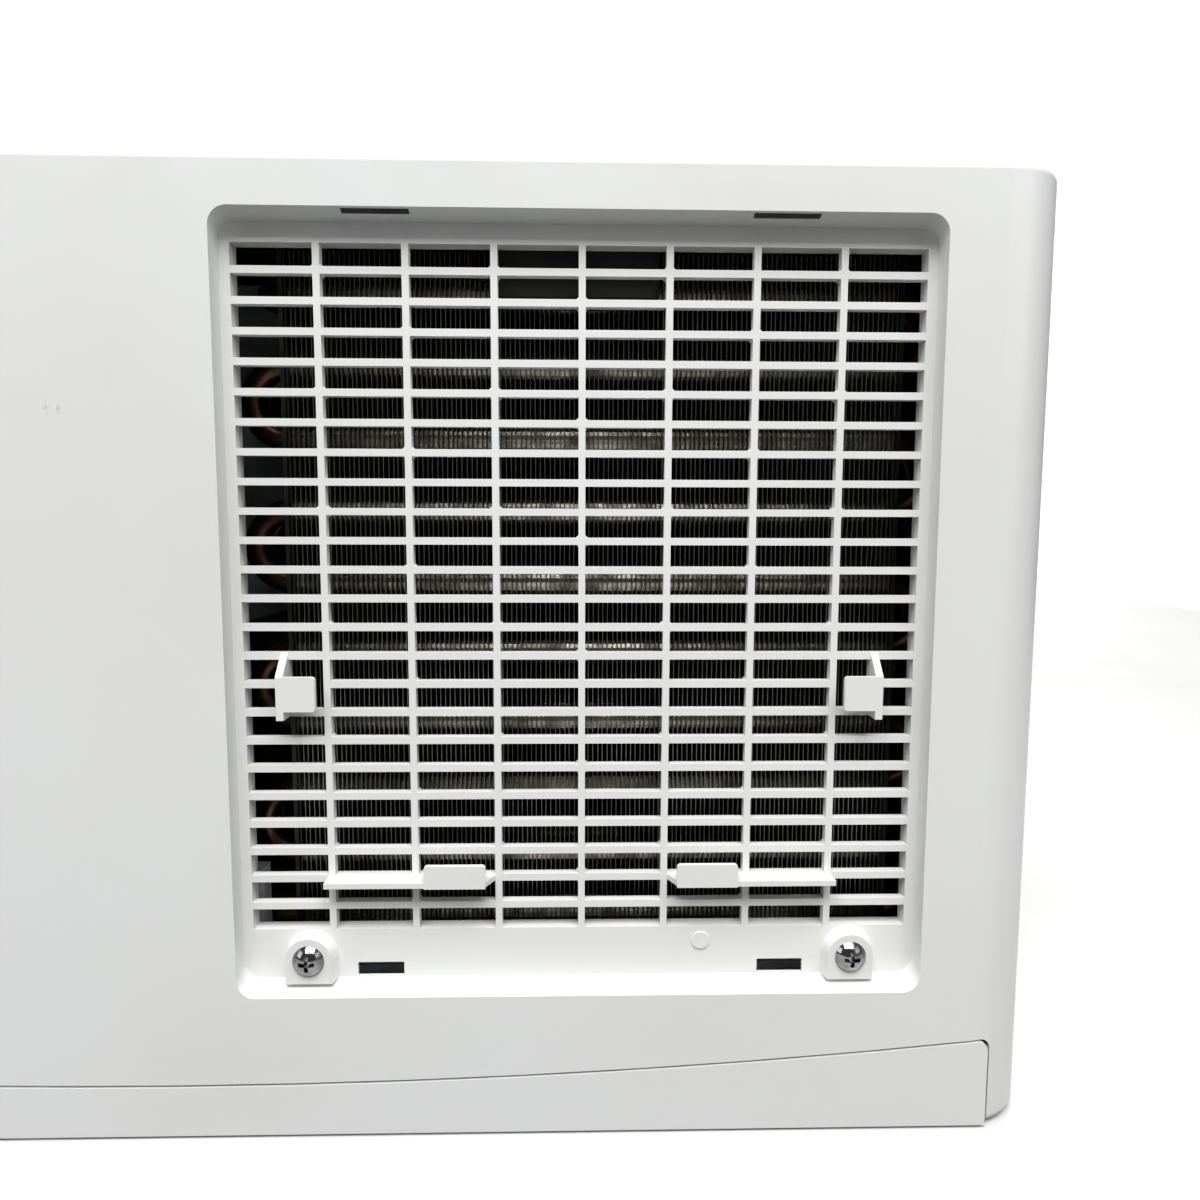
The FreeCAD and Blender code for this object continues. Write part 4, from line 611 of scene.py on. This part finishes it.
def number_mesh(number):
    """A number's mesh, upright and facing the room."""
    text = bpy.data.curves.new("number", "FONT")
    text.body, text.size, text.extrude = number, 4.6 * MM, 0.12 * MM
    text.align_x, text.align_y = "CENTER", "CENTER"
    holder = bpy.data.objects.new("number", text)
    mesh = bpy.data.meshes.new_from_object(holder)
    bpy.data.objects.remove(holder)
    mesh.transform(Matrix.Rotation(math.pi / 2, 4, "X"))
    return mesh


def dial_marks():
    """Raised tick marks round both knobs, with numbers outside them."""
    tub_wall = 2.5 * MM
    tick = (0.7 * MM, 0.3 * MM, 2.6 * MM)
    tick_radius, number_radius = 21.9 * MM, 25.9 * MM
    tub_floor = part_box("control_fascia")[1][1] - tub_wall
    bm = bmesh.new()
    for node, sweep, numbers in (("mode_knob", MODE_SWEEP, "01234"),
                                 ("thermostat_knob", THERMOSTAT_SWEEP, "1234567")):
        low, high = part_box(node)
        centre = Vector(((low[0] + high[0]) / 2, tub_floor, (low[2] + high[2]) / 2))
        for index, number in enumerate(numbers):
            angle = math.radians(-sweep + 2 * sweep * index / (len(numbers) - 1))
            made = bmesh.ops.create_cube(bm, size=1.0)["verts"]
            bmesh.ops.scale(bm, verts=made, vec=tick)
            bmesh.ops.translate(bm, verts=made, vec=(0, 0, tick_radius))
            bmesh.ops.rotate(bm, verts=made, cent=(0, 0, 0), matrix=Matrix.Rotation(angle, 3, "Y"))
            bmesh.ops.translate(bm, verts=made, vec=centre)
            mesh = number_mesh(number)
            outwards = Vector((math.sin(angle), 0, math.cos(angle)))
            mesh.transform(Matrix.Translation(centre + outwards * number_radius))
            bm.from_mesh(mesh)
            bpy.data.meshes.remove(mesh)
    return finished(bm, "dial_marks", "black_plastic")


coil_fins()
coil_collars()
hook_catches()
dial_marks()
side_screws()


# ---- studio ----------------------------------------------------------------------------------
def area_light(name, spot, aim, size, power):
    data = bpy.data.lights.new(name, "AREA")
    data.shape = "RECTANGLE"
    data.size, data.size_y = size
    data.energy = power
    light = bpy.data.objects.new(name, data)
    bpy.context.scene.collection.objects.link(light)
    light.location = spot
    light.rotation_euler = (Vector(aim) - Vector(spot)).to_track_quat("-Z", "Y").to_euler()


def build_studio():
    mesh = bpy.data.meshes.new("floor")
    bm = bmesh.new()
    bmesh.ops.create_grid(bm, x_segments=1, y_segments=1, size=1.3)
    bm.to_mesh(mesh)
    bm.free()
    floor = bpy.data.objects.new("floor", mesh)
    bpy.context.scene.collection.objects.link(floor)
    f = Finish("pale floor")
    mottle = f.span(f.noise(3.0, 3.0), 0.3, 0.7, 0.0, 1.0)
    f.colour(f.blend(mottle, (0.78, 0.78, 0.77), (0.74, 0.74, 0.73)))
    f.roughness(f.span(f.noise(12.0, 3.0), 0.3, 0.7, 0.6, 0.75))
    mesh.materials.append(f.material)
    floor.visible_diffuse = False
    world = bpy.data.worlds.new("studio")
    world.use_nodes = True
    nodes, links = world.node_tree.nodes, world.node_tree.links
    soft = nodes["Background"]
    soft.inputs["Color"].default_value = (0.97, 0.98, 1.0, 1.0)
    soft.inputs["Strength"].default_value = 0.12
    white = nodes.new("ShaderNodeBackground")
    white.inputs["Color"].default_value = (1.0, 1.0, 1.0, 1.0)
    choose = nodes.new("ShaderNodeMixShader")
    links.new(nodes.new("ShaderNodeLightPath").outputs["Is Camera Ray"], choose.inputs["Fac"])
    links.new(soft.outputs["Background"], choose.inputs[1])
    links.new(white.outputs["Background"], choose.inputs[2])
    links.new(choose.outputs["Shader"], nodes["World Output"].inputs["Surface"])
    bpy.context.scene.world = world
    bpy.context.scene.view_settings.view_transform = "Standard"
    bpy.context.scene.view_settings.look = "Medium High Contrast"
    area_light("overhead", (0.12, -1.15, 1.75), (0.11, -0.18, 0.15), (1.9, 1.0), 46.0)
    area_light("right fill", (1.5, -1.1, 0.8), (0.2, -0.15, 0.15), (0.9, 0.9), 4.0)
    area_light("left fill", (-1.9, -1.0, 0.9), (0.0, 0.0, 0.15), (1.2, 1.2), 7.0)
    area_light("behind fill", (0.9, 1.9, 1.2), (0.0, 0.0, 0.1), (1.6, 1.2), 26.0)


build_studio()
